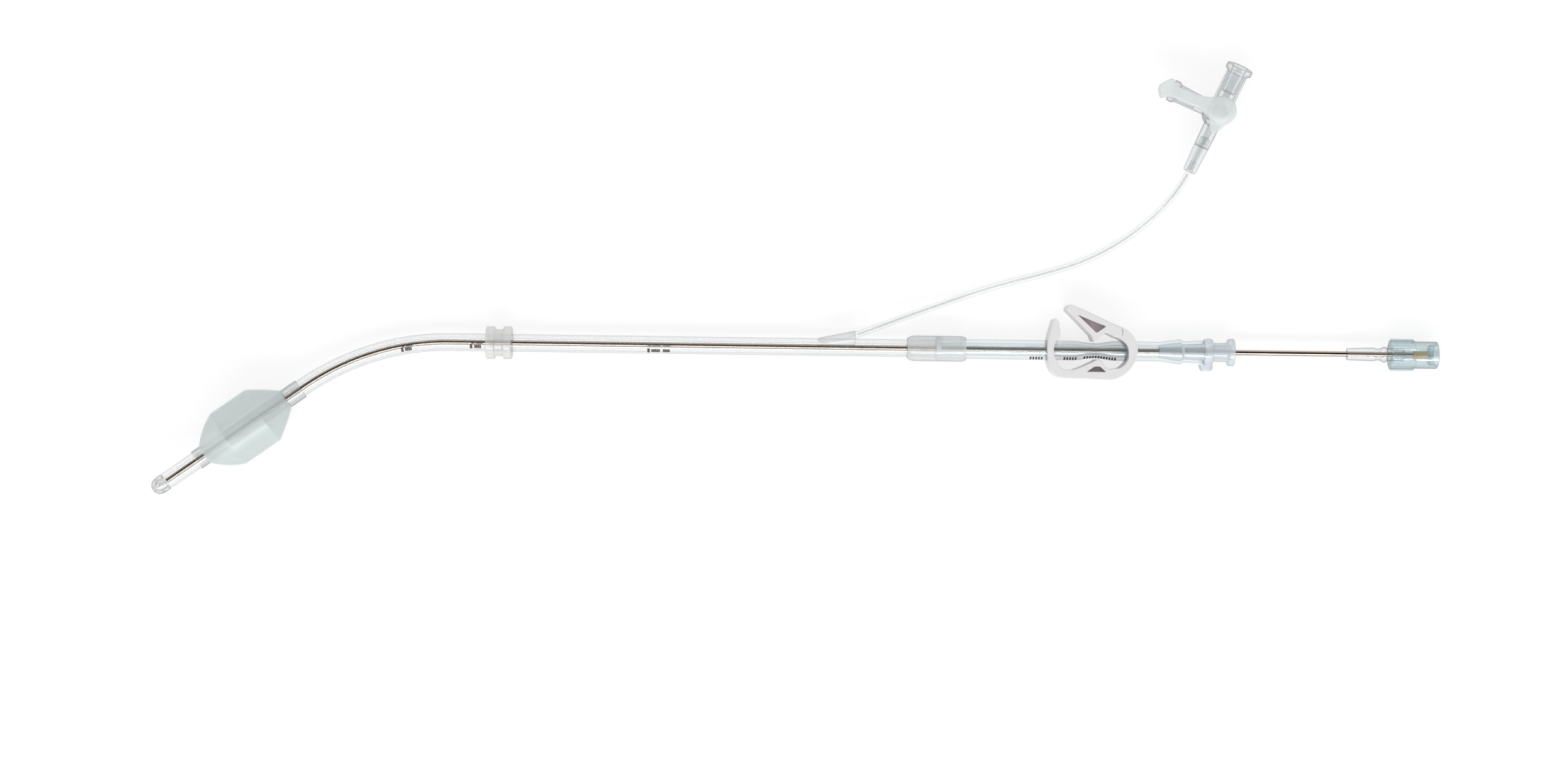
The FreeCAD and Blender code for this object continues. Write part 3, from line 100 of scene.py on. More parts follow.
# %% Camera over the table
CAMERA_REACH, VIEW_WIDTH, CAMERA_TURN = 750.0, 450.16, 0.0135
VIEW_MIDDLE = BEND_START + Vector((96.0, -9.174, 0.0))
lens = bpy.data.cameras.new("camera")
lens.sensor_width = 36.0
lens.lens = lens.sensor_width * CAMERA_REACH / VIEW_WIDTH
camera = bpy.data.objects.new("camera", lens)
camera.location = (VIEW_MIDDLE + Vector((0, 0, CAMERA_REACH))) * MM
camera.rotation_euler = (0.0, 0.0, CAMERA_TURN)
bpy.context.scene.collection.objects.link(camera)
bpy.context.scene.camera = camera
bpy.context.scene.view_settings.view_transform = "Standard"
print("lens", round(lens.lens, 2), "mm")

# %% [markdown]
# ## The side line
#
# The thin pressure line is a free hose. Its control points are the route that the part's source
# uses, and a NURBS spline in that cage bends as evenly as soft tube does, where runs and arcs
# would look like bent wire. It leaves its joint in line with the mouth, comes down on the table,
# and rises into the stopcock's sleeve. A thinner spline inside it is the wall of its bore.

# %% Route of the side line
LINE_ROUTE = [
    (-17.3, 5.7, 6.6),
    (-9.5, 8.8, 4.9),
    (-0.5, 12.1, 3.1),
    (9.5, 15.8, 1.5),
    (20.5, 19.3, 1.05),
    (31.5, 22.1, 1.0),
    (42.5, 25.6, 1.0),
    (52.5, 30.9, 1.3),
    (60.9, 37.3, 2.6),
    (66.6, 43.4, 4.6),
]
LINE_RADIUS = 0.95
tube_end = Vector((BEND_START.x + TUBE_STRAIGHT, BEND_START.y, 0))
joint_roll = math.radians(30)
line_mouth = tube_end + Vector((-23.2, 4.05 * math.cos(joint_roll), BEND_START.z + 4.05 * math.sin(joint_roll)))
route = [tube_end + Vector(spot) for spot in LINE_ROUTE]
into_joint = (line_mouth - route[0]).normalized()
leg_way = Vector((math.cos(math.radians(64.6)), math.sin(math.radians(64.6)), 0))
leg_hub = HUB + Vector((0, 0, 6.0))
line_cage = [line_mouth + into_joint * 1.5] + route + [leg_hub - leg_way * 20.9, leg_hub - leg_way * 15.7]


def nurbs_line(name, radius):
    """A round hose along the side line's route."""
    curve = bpy.data.curves.new(name, "CURVE")
    curve.dimensions = "3D"
    curve.bevel_depth = radius * MM
    curve.bevel_resolution = 8
    curve.resolution_u = 12
    curve.use_fill_caps = True
    spline = curve.splines.new("NURBS")
    spline.points.add(len(line_cage) - 1)
    for point, spot in zip(spline.points, line_cage):
        point.co = (*(spot * MM), 1.0)
    spline.order_u = 3
    spline.use_endpoint_u = True
    hose = bpy.data.objects.new(name, curve)
    bpy.context.scene.collection.objects.link(hose)
    return hose


side_line = nurbs_line("side_line_hose", LINE_RADIUS)
line_bore = nurbs_line("side_line_lumen", 0.3)
line_bore.data.bevel_factor_mapping_start = "SPLINE"
line_bore.data.bevel_factor_mapping_end = "SPLINE"
line_bore.data.bevel_factor_start, line_bore.data.bevel_factor_end = 0.02, 0.965
print("control points of the side line", len(line_cage))

# %% [markdown]
# ## Ways to make a shape
#
# Almost every piece is turned, swept or cut from a plate, as its mould was, so each starts as an
# outline in millimetres. Corners could be rounded later by a Bevel modifier, but an outline that
# is eased before it is turned keeps its even faces, and needs no guess at which edges to round.

# %% Outlines
def traced(corners, chord=0.5):
    """Points along corners (x, y) or (x, y, radius): a positive radius turns left to the next corner."""
    points = []
    for index, corner in enumerate(corners):
        here = Vector(corner[:2])
        there = Vector(corners[(index + 1) % len(corners)][:2])
        points.append(here)
        if len(corner) == 3:
            radius = corner[2]
            chord_line = there - here
            left = Vector((-chord_line.y, chord_line.x)).normalized()
            rise = math.sqrt(max(radius ** 2 - (chord_line.length / 2) ** 2, 0.0))
            centre = here + chord_line * 0.5 + left * math.copysign(rise, radius)
            sweep = 2 * math.asin(min(1.0, chord_line.length / 2 / abs(radius)))
            steps = max(2, int(abs(radius) * sweep / chord) + 1)
            for step in range(1, steps):
                turn = math.copysign(sweep * step / steps, radius)
                points.append(centre + Matrix.Rotation(turn, 2) @ (here - centre))
    return points


def eased(points, radius, steps=3, closed=True):
    """The same outline with each corner rounded off."""
    points = [Vector(point) for point in points]
    out = []
    for index, corner in enumerate(points):
        if not closed and index in (0, len(points) - 1):
            out.append(corner)
            continue
        before = points[index - 1] - corner
        after = points[(index + 1) % len(points)] - corner
        if before.length < 1e-6 or after.length < 1e-6 or before.angle(after) > math.radians(172):
            out.append(corner)
            continue
        reach = min(radius, before.length * 0.45, after.length * 0.45)
        start, stop = corner + before.normalized() * reach, corner + after.normalized() * reach
        for step in range(steps + 1):
            t = step / steps
            out.append(start * (1 - t) ** 2 + corner * (2 * t * (1 - t)) + stop * t ** 2)
    return out


print("a square eased by 1 mm has", len(eased([(0, 0), (9, 0), (9, 9), (0, 9)], 1)), "points")

# %% [markdown]
# ## From points to a piece
#
# A piece could be built with Blender's own primitives and moved into place. Here its points are
# written on a bench and multiplied by the bench's matrix, so the object itself stays at the
# origin, as the frame's own parts do. Modifiers are applied at once, and so the meshes that leave
# the script are plain.

# %% Meshes from points
def new_piece(name, points, faces, bench):
    """An object from points in millimetres on a bench."""
    mesh = bpy.data.meshes.new(name)
    mesh.from_pydata([(bench @ Vector(point)) * MM for point in points], [], faces)
    made = bmesh.new()
    made.from_mesh(mesh)
    bmesh.ops.remove_doubles(made, verts=made.verts, dist=1e-7)
    bmesh.ops.dissolve_degenerate(made, edges=made.edges, dist=1e-7)
    bmesh.ops.recalc_face_normals(made, faces=made.faces)
    made.to_mesh(mesh)
    made.free()
    thing = bpy.data.objects.new(name, mesh)
    bpy.context.scene.collection.objects.link(thing)
    return thing


def applied(thing, kind, **settings):
    """Apply one modifier and keep its result as the plain mesh."""
    modifier = thing.modifiers.new(kind, kind)
    for setting, value in settings.items():
        setattr(modifier, setting, value)
    seen = thing.evaluated_get(bpy.context.evaluated_depsgraph_get())
    mesh = bpy.data.meshes.new_from_object(seen)
    thing.modifiers.clear()
    old, thing.data = thing.data, mesh
    bpy.data.meshes.remove(old)
    mesh.name = thing.name
    return thing


def smoothed(thing, crease=34):
    """Shade smooth, with every edge above the crease angle kept crisp."""
    thing.data.polygons.foreach_set("use_smooth", [True] * len(thing.data.polygons))
    thing.data.set_sharp_from_angle(angle=math.radians(crease))
    return applied(thing, "WEIGHTED_NORMAL", keep_sharp=True)


def combined(thing, tool, operation):
    """Join or cut with another closed piece, which is used up."""
    applied(thing, "BOOLEAN", operation=operation, object=tool, solver="EXACT")
    bpy.data.objects.remove(tool)
    return thing


print("a crease is kept above", smoothed.__defaults__[0], "degrees")

# %% [markdown]
# ## Three makers
#
# A lathe turns an outline about the bench's X axis: tubes, luers, rings and the balloon. A sweep
# carries a circle along a path: the tube, its lumens and the wire. A plate gives an outline some
# thickness: the clamp, its lever and the fitting's wings. Blender's Screw and Solidify modifiers
# do the same, but the plain loops below give the same points each time and are easy to measure.

# %% Turned, swept and flat shapes
def lathe(name, outline, bench, turns=72, closed=True, swell=None):
    """Turn an outline of (station, radius) about the bench's X axis."""
    points, faces = [], []
    for station, radius in outline:
        for step in range(turns):
            angle = 2 * math.pi * step / turns
            out = radius + (swell(station, radius, angle) if swell else 0.0)
            points.append((station, out * math.cos(angle), out * math.sin(angle)))
    rings = len(outline)
    for ring in range(rings if closed else rings - 1):
        here, there = ring * turns, (ring + 1) % rings * turns
        for step in range(turns):
            after = (step + 1) % turns
            faces.append((here + step, here + after, there + after, there + step))
    return new_piece(name, points, faces, bench)


def swept(name, path, radius, bench, turns=40):
    """A round bar along points that lie in the bench's XY plane, with flat ends."""
    points, faces = [], []
    for index, spot in enumerate(path):
        before, after = path[max(index - 1, 0)], path[min(index + 1, len(path) - 1)]
        way = (Vector(after) - Vector(before)).normalized()
        side = Vector((-way.y, way.x, 0))
        for step in range(turns):
            angle = 2 * math.pi * step / turns
            around = side * (radius * math.cos(angle)) + Vector((0, 0, radius * math.sin(angle)))
            points.append(Vector((spot[0], spot[1], 0)) + around)
    for ring in range(len(path) - 1):
        here, there = ring * turns, (ring + 1) * turns
        for step in range(turns):
            after = (step + 1) % turns
            faces.append((here + step, here + after, there + after, there + step))
    faces.append(tuple(range(turns)))
    faces.append(tuple(range((len(path) - 1) * turns, len(path) * turns)))
    return new_piece(name, points, faces, bench)


def plate(name, outline, low, high, bench, bevel=0.3, steps=3):
    """A flat moulding of an outline in XY from one height to another, with rounded rims."""
    count = len(outline)
    points = [(x, y, low) for x, y in outline] + [(x, y, high) for x, y in outline]
    faces = [tuple(range(count)), tuple(range(count, 2 * count))]
    for index in range(count):
        after = (index + 1) % count
        faces.append((index, after, count + after, count + index))
    thing = new_piece(name, points, faces, bench)
    if bevel:
        made = bmesh.new()
        made.from_mesh(thing.data)
        rims = [edge for edge in made.edges if any(len(face.verts) > 4 for face in edge.link_faces)]
        bmesh.ops.bevel(
            made, geom=rims, offset=bevel * MM, segments=steps, profile=0.5, affect="EDGES", clamp_overlap=True,
        )
        made.to_mesh(thing.data)
        made.free()
    return thing


def bend_path(straight, distal, offset=0.0):
    """Centre line of a bore: along the straight run, round the bend, out to the distal end."""
    stops = max(2, int(straight / 10))
    path = [(straight * (1 - index / stops), offset) for index in range(stops)]
    turns = 48
    for index in range(turns + 1):
        angle = BEND_ANGLE * index / turns
        reach = BEND_RADIUS + offset
        path.append((-reach * math.sin(angle), reach * math.cos(angle) - BEND_RADIUS))
    last = Vector(path[-1])
    way = Vector((-math.cos(BEND_ANGLE), -math.sin(BEND_ANGLE)))
    path += [tuple(last + way * (distal * index / 5)) for index in range(1, 6)]
    return path


print("the bend's path has", len(bend_path(TUBE_STRAIGHT, TUBE_DISTAL)), "points")

# %% [markdown]
# ## Writing a finish as a formula
#
# Shader nodes are easier to read as sums than as boxes. A Socket wraps one output, so that
# `1 - 0.3 * mask` adds the Math nodes for it. A Finish is one material. Its method `add` makes
# any other node from its type, its settings and its sockets, and colours go through Mix, because
# a Math node would turn them grey.

# %% Sockets and finishes
class Socket:
    """One output of a node, ready for arithmetic."""

    def __init__(self, finish, output):
        self.finish = finish
        self.output = output

    def math(self, operation, first, second):
        return self.finish.add("Math", {"operation": operation}, {0: first, 1: second})

    def __add__(self, other):
        return self.math("ADD", self, other)

    __radd__ = __add__

    def __sub__(self, other):
        return self.math("SUBTRACT", self, other)

    def __rsub__(self, other):
        return self.math("SUBTRACT", other, self)

    def __mul__(self, other):
        return self.math("MULTIPLY", self, other)

    __rmul__ = __mul__

    def __pow__(self, other):
        return self.math("POWER", self, other)


class Finish:
    """One material and its nodes."""

    def __init__(self, name, world=False):
        self.material = (bpy.data.worlds if world else bpy.data.materials).new(name)
        self.material.use_nodes = True
        self.tree = self.material.node_tree
        self.tree.nodes.clear()
        self.end = self.tree.nodes.new("ShaderNodeOutputWorld" if world else "ShaderNodeOutputMaterial")

    def add(self, kind, settings=None, sockets=None, output=0):
        """A node of one kind, its settings first, then the values or links of its sockets."""
        node = self.tree.nodes.new("ShaderNode" + kind)
        for setting, value in (settings or {}).items():
            setattr(node, setting, value)
        for key, value in (sockets or {}).items():
            target = node.inputs[key]
            if isinstance(value, Socket):
                self.tree.links.new(value.output, target)
            elif isinstance(value, (tuple, list)) and len(value) == 3 and len(target.default_value) == 4:
                target.default_value = (*value, 1.0)
            else:
                target.default_value = value
        return Socket(self, node.outputs[output])

    def show(self, shader):
        self.tree.links.new(shader.output, self.end.inputs["Surface"])
        return self.material

    def place(self):
        return self.add("TexCoord", output="Object")

    def noise(self, scale, detail=3.0, rough=0.55, stretch=(1, 1, 1)):
        spot = self.add("Mapping", {}, {"Vector": self.place(), "Scale": stretch})
        return self.add("TexNoise", {}, {"Vector": spot, "Scale": scale, "Detail": detail, "Roughness": rough}, "Fac")

    def shade(self, first, second, factor):
        """One colour turning into another."""
        return self.add("Mix", {"data_type": "RGBA"}, {0: factor, 6: first, 7: second}, 2)

    def mix(self, first, second, factor):
        return self.add("MixShader", {}, {0: factor, 1: first, 2: second})

    def bump(self, height, distance, strength=1.0):
        return self.add("Bump", {}, {"Height": height, "Distance": distance, "Strength": strength})

    def facing(self):
        return self.add("LayerWeight", {}, {"Blend": 0.5}, "Facing")

    def seen(self):
        """1 for a ray that the eye, a gloss or a clear wall sends, 0 for a ray that gathers light."""
        rays = [self.add("LightPath", output=f"Is {kind} Ray") for kind in ("Camera", "Glossy", "Transmission")]
        return rays[0] + rays[1] + rays[2]


print("a finish can", [name for name in vars(Finish) if not name.startswith("_")])

# %% [markdown]
# ## Clear plastic
#
# Each wall of clear vinyl is a film that tints what lies behind it a little. Seen edge-on the ray
# runs a long way through the wall, so the film darkens there: that gives the fine grey lines
# along every tube. A Principled film carries the milkiness, and a thin metallic one the gloss.
# Real refraction would be the other way, but it hides the wire in a short render and is lost in
# most viewers. A ray may pass only eight such walls before it ends in black, so parts that are
# bonded to each other share one skin: the coupling, the collar, the cone and the grip are open
# sleeves on the tube or rod that they hold.

# %% Clear and milky plastics
def clear_plastic(name, tint, edge, body, milk, edge_power, edge_amount, rough, shine, relief=0.00001, grain=900.0):
    """Clear plastic: a see-through tint, dark edges, and a share of milky body."""
    finish = Finish(name)
    facing = finish.facing()
    cloud = finish.noise(grain * 0.2, 4.0)
    ripple = finish.noise(grain, 2.0)
    through = finish.add("BsdfTransparent", {}, {"Color": tint})
    limb = finish.add("BsdfTransparent", {}, {"Color": edge})
    colour = finish.shade(tuple(c * 0.96 for c in body), tuple(min(1.0, c * 1.03) for c in body), cloud)
    grain_normal = finish.bump(ripple, relief)
    skin = finish.add("BsdfPrincipled", {}, {"Base Color": colour, "Roughness": rough + 0.2, "Normal": grain_normal})
    gloss = finish.add("BsdfPrincipled", {}, {
        "Base Color": (0.96, 0.97, 0.98),
        "Metallic": 1.0,
        "Roughness": rough + 0.06 * cloud,
        "Normal": grain_normal,
    })
    film = finish.mix(through, skin, milk * (0.85 + 0.3 * cloud))
    walls = finish.mix(film, limb, edge_amount * facing ** edge_power)
    return finish.show(finish.mix(walls, gloss, shine + 0.35 * facing ** 5.0))


# Each row has the tint of the wall, the colour of its edge and the colour of its milk, and then
# milk, edge power, edge amount, roughness, shine, and where they differ, relief and grain.
PLASTICS = {
    "cannula_vinyl": (
        (0.988, 0.992, 0.993), (0.26, 0.27, 0.28), (0.86, 0.89, 0.9),
        0.02, 4.0, 0.8, 0.05, 0.06,
    ),
    # A darker copy of the clear vinyl: painted shade for the tip, the balloon's cuffs and the side line's bore.
    "painted_shade_vinyl": (
        (0.95, 0.955, 0.955), (0.1, 0.09, 0.09), (0.8, 0.82, 0.82),
        0.08, 2.4, 0.88, 0.08, 0.1,
    ),
    "clear_vinyl": (
        (0.96, 0.98, 0.987), (0.26, 0.3, 0.32), (0.7, 0.79, 0.82),
        0.09, 4.0, 0.75, 0.05, 0.15,
    ),
    "line_vinyl": (
        (0.985, 0.99, 0.99), (0.45, 0.47, 0.47), (0.86, 0.88, 0.88),
        0.04, 4.0, 0.7, 0.08, 0.05,
    ),
    "coupling_vinyl": (
        (0.965, 0.975, 0.975), (0.12, 0.09, 0.07), (0.92, 0.94, 0.935),
        0.42, 4.0, 0.9, 0.12, 0.04,
    ),
    "collar_vinyl": (
        (0.97, 0.97, 0.965), (0.5, 0.5, 0.49), (0.88, 0.88, 0.87),
        0.42, 4.0, 0.6, 0.2, 0.05, 0.00003,
    ),
    "clear_rigid": (
        (0.97, 0.98, 0.985), (0.08, 0.08, 0.08), (0.84, 0.88, 0.9),
        0.08, 2.4, 0.92, 0.05, 0.1,
    ),
    "milky_rigid": (
        (0.95, 0.968, 0.98), (0.2, 0.24, 0.27), (0.86, 0.92, 0.97),
        0.42, 3.5, 0.8, 0.07, 0.05,
    ),
    "sleeve_vinyl": (
        (0.96, 0.972, 0.972), (0.12, 0.12, 0.12), (0.84, 0.87, 0.87),
        0.18, 3.5, 0.85, 0.08, 0.1,
    ),
    "frosted_rigid": (
        (0.95, 0.965, 0.965), (0.5, 0.54, 0.54), (0.9, 0.94, 0.94),
        0.66, 3.0, 0.4, 0.3, 0.03, 0.00003,
    ),
    "blue_tint": (
        (0.84, 0.91, 0.93), (0.06, 0.11, 0.13), (0.52, 0.64, 0.67),
        0.2, 2.5, 0.9, 0.04, 0.12,
    ),
    "amber_resin": (
        (0.85, 0.72, 0.48), (0.5, 0.36, 0.18), (0.86, 0.56, 0.2),
        0.8, 3.0, 0.3, 0.1, 0.05,
    ),
    "balloon_silicone": (
        (0.97, 0.98, 0.98), (0.66, 0.7, 0.7), (0.81, 0.89, 0.88),
        0.34, 5.0, 0.35, 0.34, 0.05, 0.00003, 400.0,
    ),
}
FINISHES = {name: clear_plastic(name, *numbers) for name, numbers in PLASTICS.items()}
print("see-through finishes", len(FINISHES))


# %% [markdown]
# ## White moulding, steel and ink
#
# The clamp is moulded in white acetal: nearly plain, with a faint warm cast and a fine mould
# grain that only shows in the highlights. Its thin webs get a warmer, mauve copy of that white,
# which is painted shade for their look deep in the windows. The wire is drawn steel, so its
# streaks run along it. The print is black ink that has worn unevenly. A picture could carry all
# four, but noise has no seams and keeps its scale at any distance.

# %% Opaque finishes
def white_moulding():
    """Acetal of a pinch clamp: faint warm cast and fine mould grain."""
    finish = Finish("white_plastic")
    cloud = finish.noise(160.0, 5.0)
    grain = finish.noise(5200.0, 2.0)
    colour = finish.shade((0.78, 0.768, 0.77), (0.85, 0.838, 0.84), cloud)
    return finish.show(finish.add("BsdfPrincipled", {}, {
        "Base Color": colour,
        "Roughness": 0.3 + 0.16 * cloud,
        "Normal": finish.bump(grain, 0.00003, 0.6),
    }))


def painted_shade_web():
    """The thin web in a clamp's window: a warmer, mauve copy of the white moulding, painted shade for its recess."""
    finish = Finish("clamp_web_painted_shade")
    cloud = finish.noise(300.0, 4.0)
    # painted shade: the mauve tint stands for the web's shaded look deep in its window
    colour = finish.shade((0.88, 0.73, 0.78), (0.96, 0.82, 0.87), cloud)
    return finish.show(finish.add("BsdfPrincipled", {}, {"Base Color": colour, "Roughness": 0.5 + 0.1 * cloud}))


def drawn_steel():
    """Drawn wire: long faint streaks along the rod."""
    finish = Finish("stylet_steel")
    streak = finish.noise(9000.0, 3.0, stretch=(0.02, 1, 1))
    stain = finish.noise(120.0, 4.0)
    colour = finish.shade((0.44, 0.37, 0.32), (0.56, 0.49, 0.43), streak)
    return finish.show(finish.add("BsdfPrincipled", {}, {
        "Base Color": colour,
        "Metallic": 1.0,
        "Roughness": 0.1 + 0.08 * stain,
        "Normal": finish.bump(streak, 0.000004, 0.5),
    }))


def printed_ink():
    """Pad-printed black, with a worn, uneven cover."""
    finish = Finish("mark_ink")
    wear = finish.noise(6000.0, 3.0)
    colour = finish.shade((0.02, 0.012, 0.01), (0.09, 0.055, 0.05), wear)
    return finish.show(finish.add("BsdfPrincipled", {}, {"Base Color": colour, "Roughness": 0.4 + 0.2 * wear}))


FINISHES["white_plastic"] = white_moulding()
FINISHES["stylet_steel"] = drawn_steel()
FINISHES["mark_ink"] = printed_ink()
FINISHES["clamp_web_painted_shade"] = painted_shade_web()
print("finishes in all", len(FINISHES))

# %% [markdown]
# ## Dressing a piece
#
# Each piece needs a smooth or crisp shading, a finish, the CAD node that it replaces and the body
# that it rides on. One function does all four, so that no piece is left without one of them.


def dressed(thing, finish, body, *nodes, crease=34):
    """Give a piece its finish, its body and the node that it stands for."""
    if thing.type == "MESH":
        smoothed(thing, crease)
    thing.data.materials.clear()
    thing.data.materials.append(FINISHES[finish])
    if nodes:
        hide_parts(*nodes)
    if body:
        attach(thing, body)
    if thing.type == "MESH":
        print(thing.name, len(thing.data.polygons), "faces")
    return thing


dressed(side_line, "line_vinyl", "cannula", "side_line")
# the bore's wall takes the darker vinyl, whose dark edges are painted shade along the thin lumen
dressed(line_bore, "painted_shade_vinyl", "cannula")

# %% [markdown]
# ## The cannula tube, its tip and the wire inside
#
# An extruded tube has two lumens: a wide one for the blood line and a hair-thin one for pressure.
# Both are real holes here, because their walls draw the grey lines in the picture. The tube is
# swept along its bend once for the outside and once for each lumen, and then cut.

# %% Tube and tip
cannula = swept("cannula_tube_clear", bend_path(TUBE_STRAIGHT, TUBE_DISTAL), 2.5, BEND, 56)
for name, offset, radius, turns in (("lumen", -0.4, 1.65, 40), ("pressure_lumen", 1.88, 0.4, 20)):
    bore = swept(name, bend_path(TUBE_STRAIGHT + 1, TUBE_DISTAL + 1, offset), radius, BEND, turns)
    combined(cannula, bore, "DIFFERENCE")
dressed(cannula, "cannula_vinyl", "cannula", "cannula_tube")

TIP_END = TUBE_DISTAL + 4.3
dome = [
    (TIP_END - 2.5, 2.5), (TIP_END - 1.6, 2.33), (TIP_END - 0.75, 1.82), (TIP_END - 0.2, 1.0), (TIP_END - 0.05, 0.6),
]
hollow = [(TIP_END - 0.85, 0.6), (TIP_END - 1.3, 1.15), (TIP_END - 1.9, 1.55), (TIP_END - 2.5, 1.65)]
tip = lathe("soft_tip", eased([(TUBE_DISTAL, 1.65), (TUBE_DISTAL, 2.5)] + dome + hollow, 0.25), DISTAL, 56)
for turn in (0, 90):
    drill = DISTAL @ Matrix.Translation((TIP_END - 2.3, 0, 0)) @ Matrix.Rotation(math.radians(turn), 4, "X") @ UPRIGHT
    combined(tip, lathe("side_hole", [(-4, 0), (-4, 0.45), (4, 0.45), (4, 0)], drill, 24, False), "DIFFERENCE")
# the tip takes the darker vinyl: painted shade
dressed(tip, "painted_shade_vinyl", "cannula", "tip")

# %% [markdown]
# ## The wire
#
# The stylet's rod keeps the soft cannula in its curve while it is put in. It fills the main lumen
# from the tip to the handle, and its far end is rounded so that it can't cut the tube. It is one
# sweep on the lumen's own path with a turned nose, and not a curve with a bevel, because the nose
# and the rod then are one closed mesh.

# %% Steel wire
FITTING_END = EXT_END - 12.8 + 21.5
CONE_START = FITTING_END + 32.4
GRIP_START = CONE_START + 12.4
CUP_START = GRIP_START + 6.8
HANDLE_END = CUP_START + 6.6
wire = swept("stylet_wire", bend_path(CUP_START + 3.5, TUBE_DISTAL - 0.6), 0.8, BEND, 28)
ROD_END = DISTAL @ Matrix.Translation((TUBE_DISTAL - 0.6, 0, 0))
nose = lathe("nose", eased([(-0.6, 0), (-0.6, 0.8), (0.3, 0.8), (0.3, 0)], 0.25), ROD_END, 28)
dressed(combined(wire, nose, "UNION"), "stylet_steel", "stylet", "stylet_rod")

# %% [markdown]
# ## The balloon
#
# The balloon is a thin milky film, blown in a mould and bonded to the tube by a cuff at each end.
# Filled, it is a short barrel with a full cone towards the tip and a nearly straight one towards
# the bend. A cloth simulation would give soft folds, which a full balloon hasn't, so the film is
# turned, with a real thickness. The cuffs are separate open sleeves, clear as the tube is.

# %% Balloon
neck_half, flat_half, bond, cuff = 13.9, 5.85, 2.5, 2.85
swell_radius, tent_radius = 22.0, 60.0
balloon_inside = BALLOON_RADIUS - 0.3
low_end, high_end = BALLOON_MIDDLE - neck_half, BALLOON_MIDDLE + neck_half
film = traced([
    (low_end, bond),
    (low_end, cuff, -tent_radius),
    (BALLOON_MIDDLE - flat_half, BALLOON_RADIUS),
    (BALLOON_MIDDLE + flat_half, BALLOON_RADIUS, -swell_radius),
    (high_end, cuff),
    (high_end, bond, swell_radius),
    (BALLOON_MIDDLE + flat_half, balloon_inside),
    (BALLOON_MIDDLE - flat_half, balloon_inside, tent_radius),
])
balloon = lathe("balloon_film", eased(film, 0.22, 2), DISTAL, 96)
dressed(balloon, "balloon_silicone", "cannula", "balloon", crease=20)
far_cuff = [(low_end, cuff), (low_end - 5.1, cuff), (low_end - 5.1, bond)]
near_cuff = [(high_end + 2.7, bond), (high_end + 2.7, cuff), (high_end, cuff)]
for name, outline in (("balloon_cuff_far", far_cuff), ("balloon_cuff_near", near_cuff)):
    # the cuffs take the darker vinyl: painted shade
    dressed(lathe(name, eased(outline, 0.2, closed=False), DISTAL, 64, closed=False), "painted_shade_vinyl", "cannula")

# %% [markdown]
# ## The suture collar
#
# Two soft rings on a sleeve slide along the tube, and the surgeon ties the purse-string thread in
# the waist between them. It is one outline, turned and open towards the tube, with its corners
# eased more than those of the rigid parts.

# %% Suture collar
collar_profile = [
    (17.8, 2.55), (17.8, 4.7), (15.4, 4.7), (15.4, 3.85), (12.9, 3.85), (12.9, 4.7), (10.5, 4.7), (10.5, 2.55),
]
collar = lathe("suture_collar_rings", eased(collar_profile, 0.45, 4, closed=False), STRAIGHT, 72, closed=False)
dressed(collar, "collar_vinyl", "collar", "suture_collar")

# %% [markdown]
# ## The side joint
#
# Where the side line leaves the tube, a small saddle is moulded over both. It grows from a thin
# nose to a round mouth. Rings whose centre climbs off the axis give that form with few faces, and
# a cut with the tube's own radius makes it sit on the tube without a gap.

# %% Side joint
def joint_ring(share):
    """Centre off the axis and radius of the saddle, from its thin nose to its mouth."""
    return 1.3 + 1.85 * share, 1.45 + 0.65 * share


joint_bench = STRAIGHT @ Matrix.Rotation(joint_roll, 4, "X")
ring_points, ring_faces = [], []
nose_rings = [(105.5, 0.0, 0.8), (105.8, 0.03, 0.96)]
body_rings = [(105.8 + 9.9 * step / 8, 0.03 + 0.9 * step / 8, 1.0) for step in range(1, 9)]
stations = nose_rings + body_rings + [(116.1, 0.97, 0.99), (116.3, 1.0, 0.9)]
for station, share, part in stations:
    rise, radius = joint_ring(share)
    for step in range(48):
        angle = 2 * math.pi * step / 48
        ring_points.append((station, rise + radius * part * math.cos(angle), radius * part * math.sin(angle)))
for ring in range(len(stations) - 1):
    for step in range(48):
        after = (step + 1) % 48
        ring_faces.append((ring * 48 + step, ring * 48 + after, ring * 48 + 48 + after, ring * 48 + 48 + step))
ring_faces += [tuple(range(48)), tuple(range(len(ring_points) - 48, len(ring_points)))]
joint = new_piece("side_joint_saddle", ring_points, ring_faces, joint_bench)
combined(joint, lathe("tube_space", [(100, 0), (100, 2.5), (120, 2.5), (120, 0)], STRAIGHT, 64, False), "DIFFERENCE")
dressed(joint, "coupling_vinyl", "cannula", "side_joint")

# %% [markdown]
# ## The coupling
#
# A milky sleeve joins the stiff cannula tube to a softer, wider one. The two ends meet inside it
# at a stop ring, which shows through as a denser band. The sleeve is one open skin on the tubes,
# because each further wall would cost the light behind it.

# %% Coupling
coupling_profile = [
    (131.2, 2.5), (131.2, 2.95), (131.9, 3.35), (133.1, 3.65), (147.1, 3.65), (148.1, 3.25), (148.1, 2.8),
]
coupling = lathe("coupling_clear", eased(coupling_profile, 0.3, closed=False), STRAIGHT, 72, closed=False)
dressed(coupling, "coupling_vinyl", "cannula", "coupling_sleeve")
stop_profile = [(TUBE_STRAIGHT, 1.8), (TUBE_STRAIGHT, 3.6), (EXT_START, 3.6), (EXT_START, 1.8)]
dressed(lathe("coupling_stop", eased(stop_profile, 0.1), STRAIGHT, 72), "frosted_rigid", "cannula")

# %% [markdown]
# ## The extension tube
#
# This softer tube does two things that a plain sweep can't show: it is pressed to an oval between
# the clamp's nubs, and it is stretched over the fitting's barb. One function gives a point of it
# at any station and angle, and the print uses the same function later. When the clamp closes, the
# side under the lever's nub follows the lever and the rest stays: the blend's own weights are
# faded out along the tube.

# %% Extension tube
BARB_TIP = EXT_END - 12.8
BARB = [(0.0, 1.85), (5.7, 2.65), (6.2, 2.65), (7.0, 2.1), (12.8, 2.4)]


